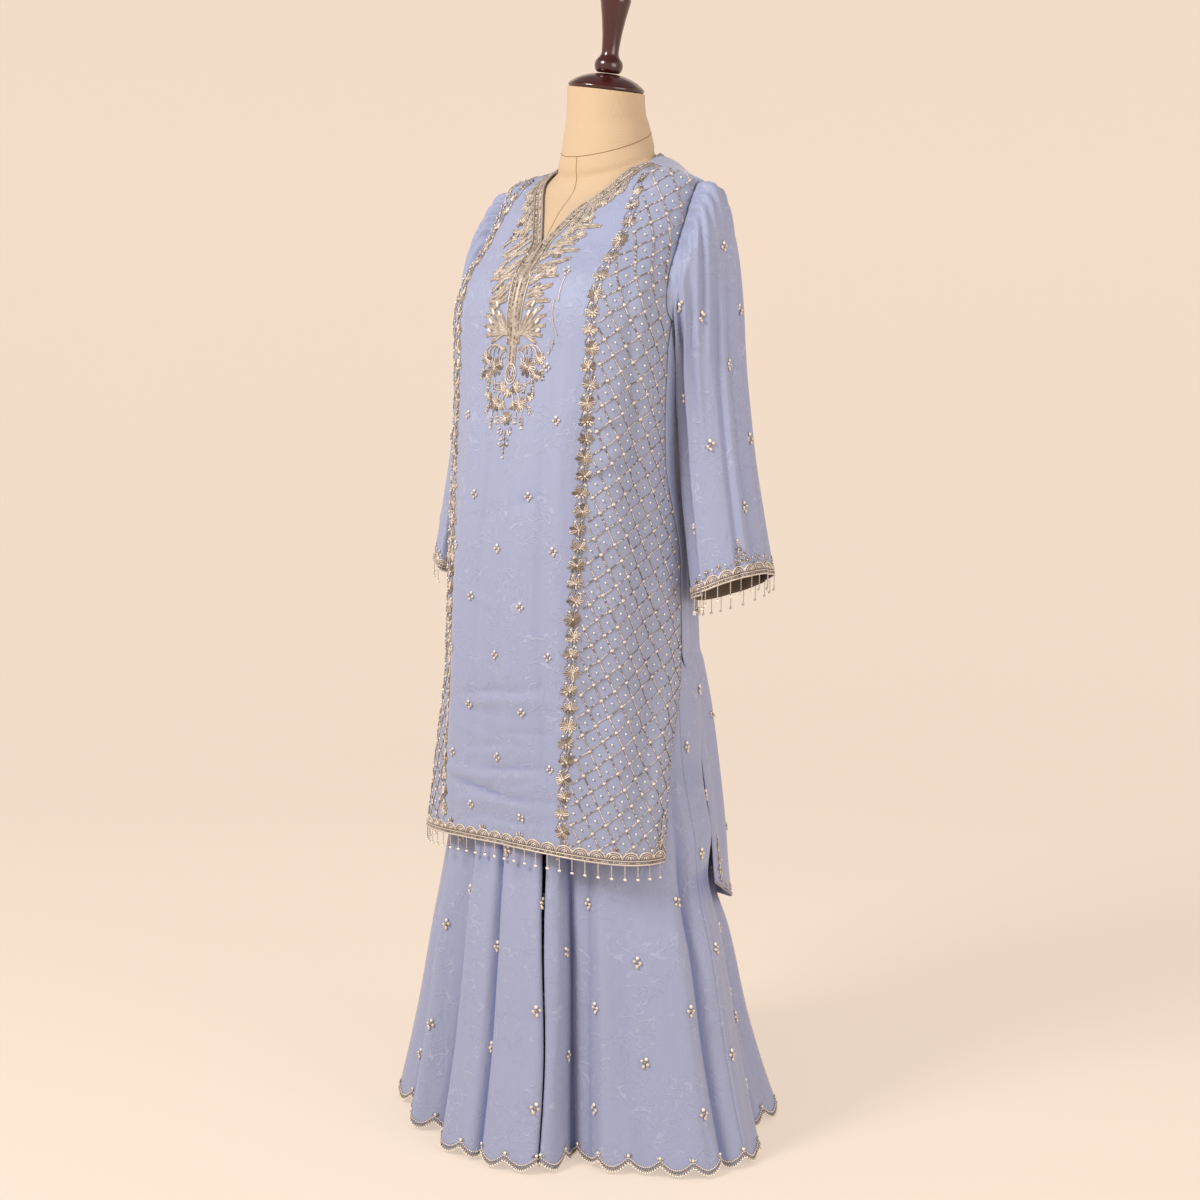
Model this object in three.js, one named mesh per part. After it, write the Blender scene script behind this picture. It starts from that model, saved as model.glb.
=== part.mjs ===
// Sharara suit on a limbless dress form: kurta, sharara, and the form that carries them.
// Millimetres, +Z up, floor at z = 0. The suit faces -Y and its left side is +X.
import * as THREE from 'three';

// ---------------------------------------------------------------- driving dimensions
const DATUM = 7;              // the heights below are measured from a level this far off the floor
const CLOTH = 1.4;            // wall of every cloth piece
const TRIM = 1.2;             // thickness of beaded bands
const LAY = 0.4;              // a trim's distance off the panel it lies on
const NECK_LAY = 0.9;         // the same for the back neck band, measured up and back
const SEAM = 0.4;             // gap between two pieces at a seam
const RIM_GAP = 0.9;          // the same below a rim whose inner edge hangs lower

const NECK_Y = 60;            // the neck stands behind the middle of the bust
const NECK_POINT = { x: 74, z: 1424 };
const SHOULDER_Z = 1388;      // shoulder tip
const UNDERARM_Z = 1195;
const V_BOTTOM_Z = 1304;
const BACK_NECK_Z = 1408;
const SLIT_TOP_Z = 715;
const HEM_FRONT_Z = 447;      // middle of the front hem
const HEM_FRONT_DROP = 16;    // the front's corners hang lower than its middle
const HEM_BACK_Z = 322;       // middle of the back hem
const HEM_BACK_RISE = 56;     // the back's slit corners stand higher
const HEM_BAND = 17;          // height of the beaded hem band
const NECK_BAND = 19;         // width of the beaded neck band
const BORDER_HALF = 12;       // half the width of each floral border
const HEM_FRINGE = 17;        // reach of the bead drops below the hem
const CUFF_FRINGE = 26;       // reach of the bead drops below the cuffs

const WAIST_TOP_Z = 1012;     // upper edge of the sharara's waistband
const WAIST_Z = 985;          // its lower edge, where the legs are sewn on
const CROTCH_Z = 735;
const RISE_TOP_Z = 788;       // below this the rise seams curve in between the legs
const LEG_HEM_Z = 18;         // legs end here, and the scalloped edging goes on down
const FLOOR_CLEAR = 4;        // the edging's lowest points stand this far off the floor
const SCALLOP = { width: 47, depth: 11 };

const BASE = { radius: 165, thickness: 9, bossRadius: 34, bossTop: 34 };
const POLE = { radius: 14, plateRadius: 42, plateThickness: 8 };
const FORM_BOTTOM_Z = 800;
const NECK_SEAM_Z = 1452;     // where the form's neck is sewn on, level with the pole
const NECK = { topZ: 1528, lean: 8.3 };   // the neck's top, its cap and the finial lean to the left

// ---------------------------------------------------------------- small tools
const rad = (degrees) => degrees * Math.PI / 180;
const lerp = (a, b, t) => a + (b - a) * t;
const clamp01 = (t) => Math.min(1, Math.max(0, t));
const ease = (t) => clamp01(t) ** 2 * (3 - 2 * clamp01(t));
const steps = (count) => Array.from({ length: count + 1 }, (_, i) => i / count);

// A smooth curve through a table's column, without overshoot (monotone cubic).
function column(table, name, at = 'z') {
  const xs = table.map((row) => row[at]);
  const ys = table.map((row) => row[name]);
  const last = xs.length - 1;
  const slope = steps(last - 1).map((_, i) => (ys[i + 1] - ys[i]) / (xs[i + 1] - xs[i]));
  const tangent = xs.map((_, i) => {
    if (i === 0) return slope[0];
    if (i === last) return slope[last - 1];
    const [a, b] = [slope[i - 1], slope[i]];
    return a * b <= 0 ? 0 : 2 * a * b / (a + b);
  });
  return (x) => {
    const at01 = Math.min(Math.max(x, xs[0]), xs[last]);
    let i = 0;
    while (i < last - 1 && at01 > xs[i + 1]) i += 1;
    const h = xs[i + 1] - xs[i];
    const t = (at01 - xs[i]) / h;
    return ys[i] * (1 + 2 * t) * (1 - t) ** 2 + tangent[i] * h * t * (1 - t) ** 2
      + ys[i + 1] * t * t * (3 - 2 * t) + tangent[i + 1] * h * t * t * (t - 1);
  };
}

// One such curve for each column after the first.
function columns(table) {
  const [at, ...names] = Object.keys(table[0]);
  return Object.fromEntries(names.map((name) => [name, column(table, name, at)]));
}

// Names in a table header, then one row of numbers for each section.
function table(names, rows) {
  return rows.map((row) => Object.fromEntries(names.map((name, i) => [name, row[i]])));
}

// ---------------------------------------------------------------- sections of the kurta
// Half width, y of the side seam, y of the middle, and how square the section is.
const FRONT = table(['z', 'half', 'side', 'middle', 'square'], [
  [430, 216, -66, -189, 2.4],
  [560, 200, -34, -189, 2.4],
  [700, 186, 8, -192, 2.4],
  [850, 182, 9, -184, 2.4],
  [1000, 173, -15, -168, 2.4],
  [1150, 181, -21, -146, 2.6],
  [1200, 184, -14, -142, 2.7],
  [1250, 182, 9, -127, 2.7],
  [1300, 177, 40, -86, 2.6],
  [1350, 175, 57, -48, 2.5],
  [1388, 172, 61, -24, 2.2],
  [1405, 140, 60, -14, 2.1],
  [1424, 78, 60, -9, 2.0],
  [1452, 66, 60, -6, 2.0],
]);
const BACK = table(['z', 'half', 'side', 'middle', 'square'], [
  [320, 228, 44, 188, 2.1],
  [395, 219, 44, 181, 2.1],
  [450, 212, 46, 177, 2.1],
  [565, 196, 41, 172, 2.1],
  [620, 190, 35, 168, 2.1],
  [700, 186, 15, 150, 2.1],
  [720, 185.6, 8.5, 146, 2.0],
  [850, 182, 9, 130, 2.0],
  [1000, 173, -15, 112, 2.0],
  [1150, 181, -21, 120, 2.1],
  [1200, 184, -14, 125, 2.3],
  [1250, 181, 10, 129, 2.7],
  [1300, 177, 40, 132, 3.0],
  [1350, 175, 57, 134, 2.8],
  [1388, 172, 61, 134, 2.2],
  [1405, 140, 60, 132, 2.1],
  [1424, 78, 60, 129, 2.0],
  [1452, 66, 60, 126, 2.0],
]);
const NECK_TILT = 0.36;       // the neck seam is higher behind than in front

function sections(rows) {
  const { half, side, middle, square } = columns(rows);
  return (z) => [half(z), side(z), middle(z), square(z)];
}
const frontSection = sections(FRONT);
const backSection = sections(BACK);

// The point at a turn of 0 (middle) to 90 degrees (side seam) on a section, left side positive.
function sectionPoint(section, turn, z) {
  const [half, side, middle, square] = section(z);
  const across = Math.sin(rad(turn));
  const y = side + (middle - side) * (1 - Math.abs(across) ** square) ** (1 / square);
  const tilt = NECK_TILT * ease((z - 1340) / 90);
  return new THREE.Vector3(half * across, y, z + tilt * (y - NECK_Y));
}

// The same point, moved out along the outward direction there, which it keeps as its normal.
function onSection(section, turn, z, outward = section === frontSection ? 1 : -1, out = 0) {
  const [low, high] = [turn - 0.05, Math.min(turn + 0.05, 90)];
  const around = sectionPoint(section, high, z).sub(sectionPoint(section, low, z));
  const up = sectionPoint(section, turn, z + 1).sub(sectionPoint(section, turn, z - 1));
  const normal = around.cross(up).normalize().multiplyScalar(outward);
  return Object.assign(sectionPoint(section, turn, z).addScaledVector(normal, out), { normal });
}
const turnOf = (section, x, z) => Math.asin(clamp01(x / section(z)[0])) * 180 / Math.PI;

// ---------------------------------------------------------------- cloth as walls
function solidOf(vertices, faces) {
  const geometry = new THREE.BufferGeometry();
  const places = vertices.flatMap((v) => v.toArray());
  geometry.setAttribute('position', new THREE.Float32BufferAttribute(places, 3));
  geometry.setIndex(faces.flat());
  geometry.computeVertexNormals();
  return geometry;
}

class Cloth {
  constructor() {
    this.points = [];
    this.faces = [];
    this.index = new Map();
  }

  add(point) {
    const key = point.toArray().map((v) => v.toFixed(3)).join();
    if (!this.index.has(key)) {
      this.index.set(key, this.points.length);
      this.points.push(point);
    }
    return this.index.get(key);
  }

  // Rows of points, each row running so that the outside is seen with rows going up.
  grid(rows, { closed = false, flip = false } = {}) {
    const ids = rows.map((row) => row.map((point) => this.add(point)));
    for (let r = 0; r + 1 < ids.length; r += 1) {
      const count = closed ? ids[r].length : ids[r].length - 1;
      for (let c = 0; c < count; c += 1) {
        const next = (c + 1) % ids[r].length;
        this.face([ids[r][c], ids[r][next], ids[r + 1][next]], flip);
        this.face([ids[r][c], ids[r + 1][next], ids[r + 1][c]], flip);
      }
    }
    return this;
  }

  face(corners, flip) {
    if (new Set(corners).size === 3) this.faces.push(flip ? [...corners].reverse() : corners);
  }

  normals() {
    const sums = this.points.map(() => new THREE.Vector3());
    for (const [a, b, c] of this.faces) {
      const ab = this.points[b].clone().sub(this.points[a]);
      const ac = this.points[c].clone().sub(this.points[a]);
      const normal = ab.cross(ac);
      [a, b, c].forEach((i) => sums[i].add(normal));
    }
    return sums.map((sum) => sum.normalize());
  }

  // A closed wall from `outer` outside the surface to `inner` inside it.
  wall(inner = CLOTH, outer = 0) {
    const fromFaces = this.normals();
    const normals = this.points.map((p, i) => p.normal ?? fromFaces[i]);
    const shift = (by) => this.points.map((p, i) => p.clone().addScaledVector(normals[i], by));
    const count = this.points.length;
    const vertices = [...shift(outer), ...shift(-inner)];
    const faces = [...this.faces, ...this.faces.map(([a, b, c]) => [c + count, b + count, a + count])];
    const used = new Set(this.faces.flatMap(([a, b, c]) => [`${a},${b}`, `${b},${c}`, `${c},${a}`]));
    for (const edge of used) {
      const [a, b] = edge.split(',').map(Number);
      if (used.has(`${b},${a}`)) continue;
      faces.push([b, a, a + count], [b, a + count, b + count]);
    }
    return solidOf(vertices, faces);
  }

  // For a surface that is closed already.
  solid() {
    return solidOf(this.points, this.faces);
  }
}

const flipX = (v) => new THREE.Vector3(-v.x, v.y, v.z);
const mirrored = (rows) => rows.map((row) => row.map(
  (p) => Object.assign(flipX(p), p.normal && { normal: flipX(p.normal) }),
));
const raised = (p, by) => Object.assign(p.clone().setZ(p.z + by), { normal: p.normal });

// ---------------------------------------------------------------- materials
const BLUE = new THREE.Color().setRGB(0.66, 0.71, 0.85, THREE.SRGBColorSpace);
const BEADS = new THREE.Color().setRGB(0.75, 0.68, 0.56, THREE.SRGBColorSpace);
const LINEN = new THREE.Color().setRGB(0.92, 0.8, 0.62, THREE.SRGBColorSpace);
const MAHOGANY = new THREE.Color().setRGB(0.27, 0.05, 0.06, THREE.SRGBColorSpace);
const STEEL = new THREE.Color().setRGB(0.2, 0.19, 0.19, THREE.SRGBColorSpace);

const finish = (color, roughness, metalness) => (
  new THREE.MeshStandardMaterial({ color, roughness, metalness })
);
const blueCloth = () => finish(BLUE, 0.75, 0);
const beadwork = () => finish(BEADS, 0.45, 0.4);
const linen = () => finish(LINEN, 0.9, 0);
const mahogany = () => finish(MAHOGANY, 0.15, 0);
const steel = () => finish(STEEL, 0.4, 0.8);

const suit = new THREE.Group();
const kurta = new THREE.Group();
const shararaGroup = new THREE.Group();
const form = new THREE.Group();
suit.add(kurta, shararaGroup, form);

function place(group, name, geometry, material) {
  const mesh = new THREE.Mesh(geometry, material);
  mesh.name = name;
  group.add(mesh);
  return mesh;
}

// ---------------------------------------------------------------- lines on the kurta
const borderX = column(table(['z', 'x'], [
  [430, 114], [700, 120], [1000, 124], [1150, 126], [1300, 127], [1345, 123], [1388, 115], [1412, 106],
]), 'x');
const neckX = (z) => NECK_POINT.x * clamp01((z - V_BOTTOM_Z) / (NECK_POINT.z - V_BOTTOM_Z)) ** 0.96;
const backNeckX = (z) => NECK_POINT.x * clamp01((z - BACK_NECK_Z) / (NECK_POINT.z - BACK_NECK_Z)) ** 0.5;

// How far the armhole is cut in from the side, in degrees of turn.
const ARMHOLE_CUT = { front: 12, back: 16 };
const armholeDepth = (z) => clamp01((SHOULDER_Z - z) / (SHOULDER_Z - UNDERARM_Z));
function edgeTurn(z, cut) {
  if (z <= UNDERARM_Z || z >= SHOULDER_Z) return 90;
  return 90 - cut * Math.sin(Math.PI * armholeDepth(z) ** 0.9) ** 0.6;
}
const SEAM_TURN = 0.12;       // a piece stops this short of the side and shoulder seams

const hemFrontZ = (x) => HEM_FRONT_Z - HEM_FRONT_DROP * (Math.abs(x) / 216) ** 2;
const hemBackZ = (turn) => HEM_BACK_Z + HEM_BACK_RISE * (Math.abs(turn) / 90) ** 3;

const FRONT_ROWS = [600, SLIT_TOP_Z, 850, 1000, 1100, UNDERARM_Z, 1250, V_BOTTOM_Z, 1345, SHOULDER_Z, 1397];
const TOP_ROWS = [1405, 1412];
const NECK_ROWS = [1418, 1422.5];
const PANEL_ROWS = [...FRONT_ROWS, ...TOP_ROWS];
const CENTRE_ROWS = [...PANEL_ROWS, ...NECK_ROWS];

// A column down the front: the hem, the top of the hem band, then the level rows.
function frontColumnZ(x, rows) {
  const hem = hemFrontZ(x);
  return [hem, hem + HEM_BAND, 525, ...rows];
}

// Points of the front from the hem up, through stations given as x at each height.
function frontStrip(rows, stations) {
  return frontColumnZ(0, rows).map((level, r) => stations(level).map((_, i) => {
    let z = level;
    for (let pass = 0; pass < 3; pass += 1) z = frontColumnZ(stations(z)[i], rows)[r];
    const edge = edgeTurn(z, ARMHOLE_CUT.front) - SEAM_TURN;
    return onSection(frontSection, Math.min(turnOf(frontSection, stations(z)[i], z), edge), z);
  }));
}
const between = (a, b, count) => steps(count + 1).slice(1, -1).map((t) => lerp(a, b, t));

// The neck band follows the V and runs on below it as a short middle column.
const COLUMN_BOTTOM_Z = 1100;
const columnHalf = (z) => lerp(9, NECK_BAND, clamp01((z - COLUMN_BOTTOM_Z) / (V_BOTTOM_Z - COLUMN_BOTTOM_Z)));
function centreStations(z) {
  const seam = borderX(z);
  const band = Math.min(neckX(z) + (z < V_BOTTOM_Z ? columnHalf(z) : NECK_BAND), seam - BORDER_HALF - 1);
  return [neckX(z), band, ...between(band, seam - BORDER_HALF, 2), seam - BORDER_HALF, seam - SEAM / 2];
}
function sideStations(z) {
  const [seam, edge] = [borderX(z), frontSection(z)[0]];
  return [seam + SEAM / 2, seam + BORDER_HALF, ...between(seam + BORDER_HALF, edge, 3), edge];
}

// Back rows run down past the front's hem; each column ends on the curved back hem.
const BACK_ROWS = ['hem', 'band', 455, 550, 640, ...CENTRE_ROWS.slice(1)];
const BACK_COLUMNS = 6;
const backBandX = column(table(['z', 'x'], [
  [1390, 24], [1397, 28], [1405, 38], [1412, 58], [1418, 68], [1422.5, 74],
]), 'x');
function backStrip() {
  return BACK_ROWS.map((row) => steps(BACK_COLUMNS).map((t, i) => {
    const hem = hemBackZ(90 * t);
    const z = { hem, band: hem + HEM_BAND }[row] ?? row;
    const edge = edgeTurn(z, ARMHOLE_CUT.back) - SEAM_TURN;
    const neck = turnOf(backSection, backNeckX(z), z);
    const band = z < 1390 ? lerp(neck, edge, 1 / BACK_COLUMNS) : turnOf(backSection, backBandX(z), z);
    const turn = i === 0 ? neck : lerp(Math.min(band, edge), edge, (i - 1) / (BACK_COLUMNS - 1));
    return onSection(backSection, turn, z);
  }));
}

const centreRows = frontStrip(CENTRE_ROWS, centreStations);
const sideRows = frontStrip(PANEL_ROWS, sideStations);
const backRows = backStrip();

// One surface for the left half of the front, or one for each side, seen from outside.
const frontLeft = (rows) => new Cloth().grid(rows);
const frontRight = (rows) => new Cloth().grid(mirrored(rows), { flip: true });
const frontWhole = (rows) => new Cloth().grid(rows).grid(mirrored(rows), { flip: true });
const backWhole = (rows) => new Cloth().grid(rows, { flip: true }).grid(mirrored(rows));
const onTop = (cloth, lay = LAY) => cloth.wall(-lay, lay + TRIM);

// ---------------------------------------------------------------- kurta: panels and trims
function kurtaPanels() {
  place(kurta, 'kurta_front_centre', frontWhole(centreRows).wall(), blueCloth());
  place(kurta, 'kurta_front_side_left', frontLeft(sideRows).wall(), blueCloth());
  place(kurta, 'kurta_front_side_right', frontRight(sideRows).wall(), blueCloth());
  place(kurta, 'kurta_back', backWhole(backRows).wall(), blueCloth());
}

// Floral borders cover the two long seams, from the hem band up to the shoulder seams.
function floralBorders() {
  const rows = sideRows.map((side, r) => [...centreRows[r].slice(-2), side[1]]).slice(1);
  rows[0] = rows[0].map((p) => raised(p, SEAM));
  place(kurta, 'floral_border_left', onTop(frontLeft(rows)), beadwork());
  place(kurta, 'floral_border_right', onTop(frontRight(rows)), beadwork());
}

function neckBands() {
  const first = 3 + CENTRE_ROWS.indexOf(COLUMN_BOTTOM_Z);
  const front = centreRows.slice(first).map((row) => row.slice(0, 2));
  place(kurta, 'neck_band_front', onTop(frontWhole(front)), beadwork());
  // The back strip turns sharply over the shoulder, so all of it stands off one way: up and back.
  const away = new THREE.Vector3(0, 1, 1).normalize();
  const standing = (row) => row.slice(0, 2).map((p) => Object.assign(p.clone(), { normal: away }));
  const back = backRows.slice(BACK_ROWS.indexOf(1397)).map(standing);
  place(kurta, 'neck_band_back', onTop(backWhole(back), NECK_LAY), beadwork());
}

function hemTrims() {
  const hemRows = [0, 1].map((r) => [...centreRows[r].slice(0, -1), ...sideRows[r]]);
  place(kurta, 'hem_band_front', onTop(frontWhole(hemRows)), beadwork());
  place(kurta, 'hem_band_back', onTop(backWhole(backRows.slice(0, 2))), beadwork());
  const lowered = (by) => hemRows[0].map((p) => raised(p, -by));
  place(kurta, 'hem_fringe_front', frontWhole([lowered(HEM_FRINGE), lowered(SEAM)]).wall(), beadwork());
}

// ---------------------------------------------------------------- sleeves
// Each ring passes through an outer, an inner, a front and a back point of the hanging sleeve.
const SLEEVE = table(['at', 'outX', 'outZ', 'inX', 'inZ', 'inY', 'midY', 'deep'], [
  [0.0, 172, 1388, 184, 1195, -14, 37, 47],
  [0.06, 203, 1375, 187, 1187, -4, 42, 48],
  [0.14, 220, 1346, 187, 1172, 18, 49, 50],
  [0.25, 226, 1298, 182, 1148, 36, 55, 52],
  [0.38, 228, 1232, 175, 1114, 50, 59, 53],
  [0.52, 232, 1150, 170, 1060, 57, 61, 54],
  [0.7, 247, 1030, 173, 965, 60, 62, 58],
  [0.86, 266, 922, 182, 868, 60, 62, 64],
  [1.0, 283, 835, 192, 792, 60, 62, 70],
]);
const SLEEVE_ROWS = [0, 0.06, 0.14, 0.25, 0.4, 0.6, 0.8];
const SLEEVE_COLUMNS = 18;
const CUFF_BAND = 17;         // height of the beaded cuff
const CUFF_AT = 1 - CUFF_BAND / 620;
const sleeve = columns(SLEEVE);

// The armhole on the left side, straight between the panels' rows as their edges are:
// 0 at the shoulder, 90 in front, 180 under the arm, 270 behind.
const ARMHOLE_ROWS = FRONT_ROWS.filter((z) => z >= UNDERARM_Z && z <= SHOULDER_Z).reverse();
function armhole(around) {
  const inFront = around <= 180;
  const [section, cut] = inFront ? [frontSection, ARMHOLE_CUT.front] : [backSection, ARMHOLE_CUT.back];
  const edge = (z) => sectionPoint(section, edgeTurn(z, cut), z);
  const at = (inFront ? around : 360 - around) / 180 * (ARMHOLE_ROWS.length - 1);
  const row = Math.min(Math.floor(at), ARMHOLE_ROWS.length - 2);
  const point = edge(ARMHOLE_ROWS[row]).lerp(edge(ARMHOLE_ROWS[row + 1]), at - row);
  return point.setX(point.x + SEAM);
}

function sleeveRing(around, at) {
  const [c, s] = [Math.cos(rad(around)), Math.sin(rad(around))];
  const half = (a, b) => lerp(b, a, (1 + c) / 2);
  const middleY = (NECK_Y + sleeve.inY(at)) / 2;
  const y = half(NECK_Y, sleeve.inY(at)) - sleeve.deep(at) * s + (sleeve.midY(at) - middleY) * s * s;
  return new THREE.Vector3(half(sleeve.outX(at), sleeve.inX(at)), y, half(sleeve.outZ(at), sleeve.inZ(at)));
}

// How far each sleeve hangs out and back from the table's; the right one swings forward.
const SWING = { left: { out: 0, back: 0 }, right: { out: 9, back: -36 } };
function sleevePoint(side, around, at) {
  const fit = armhole(around).sub(sleeveRing(around, 0)).multiplyScalar(1 - ease(at / 0.2));
  const point = sleeveRing(around, at).add(fit);
  const swing = 1 - (1 - at) ** 3;
  return point.add(new THREE.Vector3(SWING[side].out * swing, SWING[side].back * swing, 0));
}

function sleeves() {
  for (const [side, turned, flip] of [['left', (rows) => rows, false], ['right', mirrored, true]]) {
    const ring = (at) => steps(SLEEVE_COLUMNS).slice(0, -1).map((t) => sleevePoint(side, 360 * t, at));
    const rings = [...SLEEVE_ROWS, CUFF_AT, 1].map(ring);
    const hang = [RIM_GAP, CUFF_FRINGE].map((by) => rings.at(-1).map((p) => raised(p, -by)));
    const tube = (rows) => new Cloth().grid(turned(rows), { closed: true, flip });
    place(kurta, `sleeve_${side}`, tube(rings).wall(), blueCloth());
    place(kurta, `cuff_band_${side}`, onTop(tube(rings.slice(-2))), beadwork());
    place(kurta, `cuff_fringe_${side}`, tube(hang).wall(), beadwork());
  }
}

// ---------------------------------------------------------------- sharara
// Sections of both legs together: the whole round that their outer walls make.
const LEGS = table(['z', 'half', 'centreX', 'centreY', 'front', 'back'], [
  [-3, 308, 15, -21, 238, 292],
  [150, 270, 11, -16, 209, 236],
  [290, 243, 9, -12, 192, 200],
  [345, 229, 7, -11, 185, 180],
  [447, 208, 4, -8, 173, 157],
  [560, 186, 0, -5, 173, 146],
  [700, 172, 0, 0, 173, 130],
  [850, 164, 0, 0, 158, 112],
  [930, 146, 0, -5, 124, 102],
  [985, 131.7, 0, -10, 91.7, 95.7],
]);
// Where the two legs part: x of the parting in front and behind, and half the gap there.
const PARTING = table(['z', 'front', 'back', 'gap'], [
  [-3, 95, 52, 5],
  [447, 75, 46, 5],
  [CROTCH_Z, 58, 42, 5],
  [RISE_TOP_Z, 34, 26, 0.2],
  [WAIST_Z, 0, 0, 0.2],
]);
// How far the folds fall in from that round at the hem, by direction (0 in front, 90 to the left).
const FOLDS = table(['direction', 'inward'], [
  [-180, 18], [-160, 0], [-140, 30], [-120, 2], [-101, 28], [-82, 0], [-68, -8], [-55, 22], [-42, 4],
  [-27, 30], [-12, 0], [4, 4], [16, 0], [30, 18], [41, 52], [50, 30], [62, 26], [84, -4], [97, -4],
  [114, 28], [132, -4], [150, 30], [166, 4], [180, 18],
]);
const legs = columns(LEGS);
const parting = columns(PARTING);
const foldAt = column(FOLDS, 'inward', 'direction');
const FOLD_START_Z = 900;

function legsPoint(direction, z) {
  const [s, c] = [Math.sin(rad(direction)), Math.cos(rad(direction))];
  const depth = c > 0 ? legs.front(z) : legs.back(z);
  const round = 1 / Math.hypot(s / legs.half(z), c / depth);
  const radius = round - foldAt(direction) * clamp01((FOLD_START_Z - z) / FOLD_START_Z) ** 1.3;
  return new THREE.Vector2(legs.centreX(z) + radius * s, legs.centreY(z) - radius * c);
}

// The direction, in front or behind, in which the outer round crosses a given x.
function directionAtX(x, z, inFront) {
  let [low, high] = inFront ? [-80, 80] : [260, 100];
  for (let i = 0; i < 40; i += 1) {
    const middle = (low + high) / 2;
    if (legsPoint(middle > 180 ? middle - 360 : middle, z).x < x) low = middle;
    else high = middle;
  }
  return (low + high) / 2;
}

// One leg's section: up the rise or inner wall, round a soft corner, along the outside and back.
const CORNER = 22;
const sideOf = { left: 1, right: -1 };
function legSection(side, z) {
  const sign = sideOf[side];
  const gap = parting.gap(z) * sign;
  const [frontX, backX] = [parting.front(z) + gap, parting.back(z) + gap];
  const from = directionAtX(frontX, z, true);
  const behind = directionAtX(backX, z, false);
  const to = sign > 0 ? behind : behind - 360;
  const outside = steps(160).map((t) => lerp(from, to, t)).map((d) => legsPoint(d > 180 ? d - 360 : d, z));
  const sunk = ease((RISE_TOP_Z - z) / (RISE_TOP_Z - CROTCH_Z));
  const meeting = new THREE.Vector2((frontX + backX) / 2, legs.centreY(z));
  const start = outside[0].clone().lerp(meeting, sunk);
  const end = outside.at(-1).clone().lerp(meeting, sunk);
  const path = rounded([start, ...outside, end], CORNER * sunk);
  const sideSeam = path.reduce((best, p, i) => (sign * p.x > sign * path[best].x ? i : best), 0);
  return { front: path.slice(0, sideSeam + 1), back: path.slice(sideSeam) };
}

// Softens the two corners where the inner wall turns into the outside.
function rounded(path, reach) {
  if (reach < 1) return path;
  const [start, corner, ...rest] = path;
  const [end, lastCorner] = [rest.pop(), rest.pop()];
  const soft = (wallPoint, at, run) => {
    const wallEnd = at.clone().add(wallPoint.clone().sub(at).setLength(reach));
    const along = run.findIndex((p) => p.distanceTo(at) > reach);
    const bend = steps(8).map((t) => new THREE.Vector2(
      ...['x', 'y'].map((k) => (1 - t) ** 2 * wallEnd[k] + 2 * t * (1 - t) * at[k] + t * t * run[along][k]),
    ));
    return [bend, along];
  };
  const [front, frontAlong] = soft(start, corner, rest);
  const reversed = [...rest].reverse();
  const [back, backAlong] = soft(end, lastCorner, reversed);
  const middle = rest.slice(frontAlong + 1, rest.length - backAlong - 1);
  return [start, ...front, ...middle, ...back.reverse(), end];
}

// Points at equal distances along a path.
function evenly(points, columns) {
  const path = points.filter((p, i) => i === 0 || p.distanceTo(points[i - 1]) > 1e-6);
  const along = [0];
  for (let i = 1; i < path.length; i += 1) along.push(along[i - 1] + path[i].distanceTo(path[i - 1]));
  return steps(columns).map((t) => {
    const goal = t * along.at(-1);
    const i = Math.min(Math.max(along.findIndex((a) => a >= goal), 1), path.length - 1);
    return path[i - 1].clone().lerp(path[i], (goal - along[i - 1]) / (along[i] - along[i - 1]));
  });
}

const LEG_ROWS = [LEG_HEM_Z, 150, 290, 345, 450, CROTCH_Z, 762, RISE_TOP_Z, 900, WAIST_Z];
const LEG_COLUMNS = 20;
function legPiece(side, half) {
  const rows = LEG_ROWS.map((z) => evenly(legSection(side, z)[half], LEG_COLUMNS).map((p) => {
    const seam = SEAM / 2 * (half === 'front' ? -1 : 1);
    return new THREE.Vector3(p.x, p.y + seam, z);
  }));
  for (const row of rows) row.at(half === 'front' ? -1 : 0).normal = new THREE.Vector3(sideOf[side], 0, 0);
  return new Cloth().grid(rows, { flip: side === 'right' });
}

function legPieces() {
  for (const side of ['left', 'right']) {
    for (const half of ['front', 'back']) {
      place(shararaGroup, `sharara_${side}_${half}`, legPiece(side, half).wall(), blueCloth());
    }
  }
}

// The scalloped edging goes on down from the whole hem of each leg, and lies higher on the base.
const SCALLOP_COLUMNS = 2;
const BASE_LIFT = 10;
function hemEdging(side) {
  const { front, back } = legSection(side, LEG_HEM_Z);
  const round = [...front, ...back.slice(1, -1)];
  const length = round.reduce((sum, p, i) => sum + p.distanceTo(round[(i + 1) % round.length]), 0);
  const scallops = Math.round(length / SCALLOP.width);
  const columns = evenly([...round, round[0]], scallops * SCALLOP_COLUMNS).slice(0, -1);
  const upper = columns.map((p) => new THREE.Vector3(p.x, p.y, LEG_HEM_Z - RIM_GAP));
  const lower = columns.map((p, i) => {
    const rise = SCALLOP.depth * (1 - Math.sin(Math.PI * (i % SCALLOP_COLUMNS) / SCALLOP_COLUMNS));
    const lift = BASE_LIFT * (1 - ease((p.length() - BASE.radius - 4) / 30));
    return new THREE.Vector3(p.x, p.y, Math.min(FLOOR_CLEAR - DATUM + lift + rise, LEG_HEM_Z - 4));
  });
  return new Cloth().grid([lower, upper], { closed: true, flip: side === 'right' }).wall();
}

// The waistband sits on the form's waist, above the four leg pieces.
function waistband() {
  const ring = (z) => formRing(z, CLOTH + FORM_CLEAR);
  const band = new Cloth().grid([ring(WAIST_Z + SEAM), ring(WAIST_TOP_Z)], { closed: true });
  place(shararaGroup, 'sharara_waistband', band.wall(), blueCloth());
}

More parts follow.
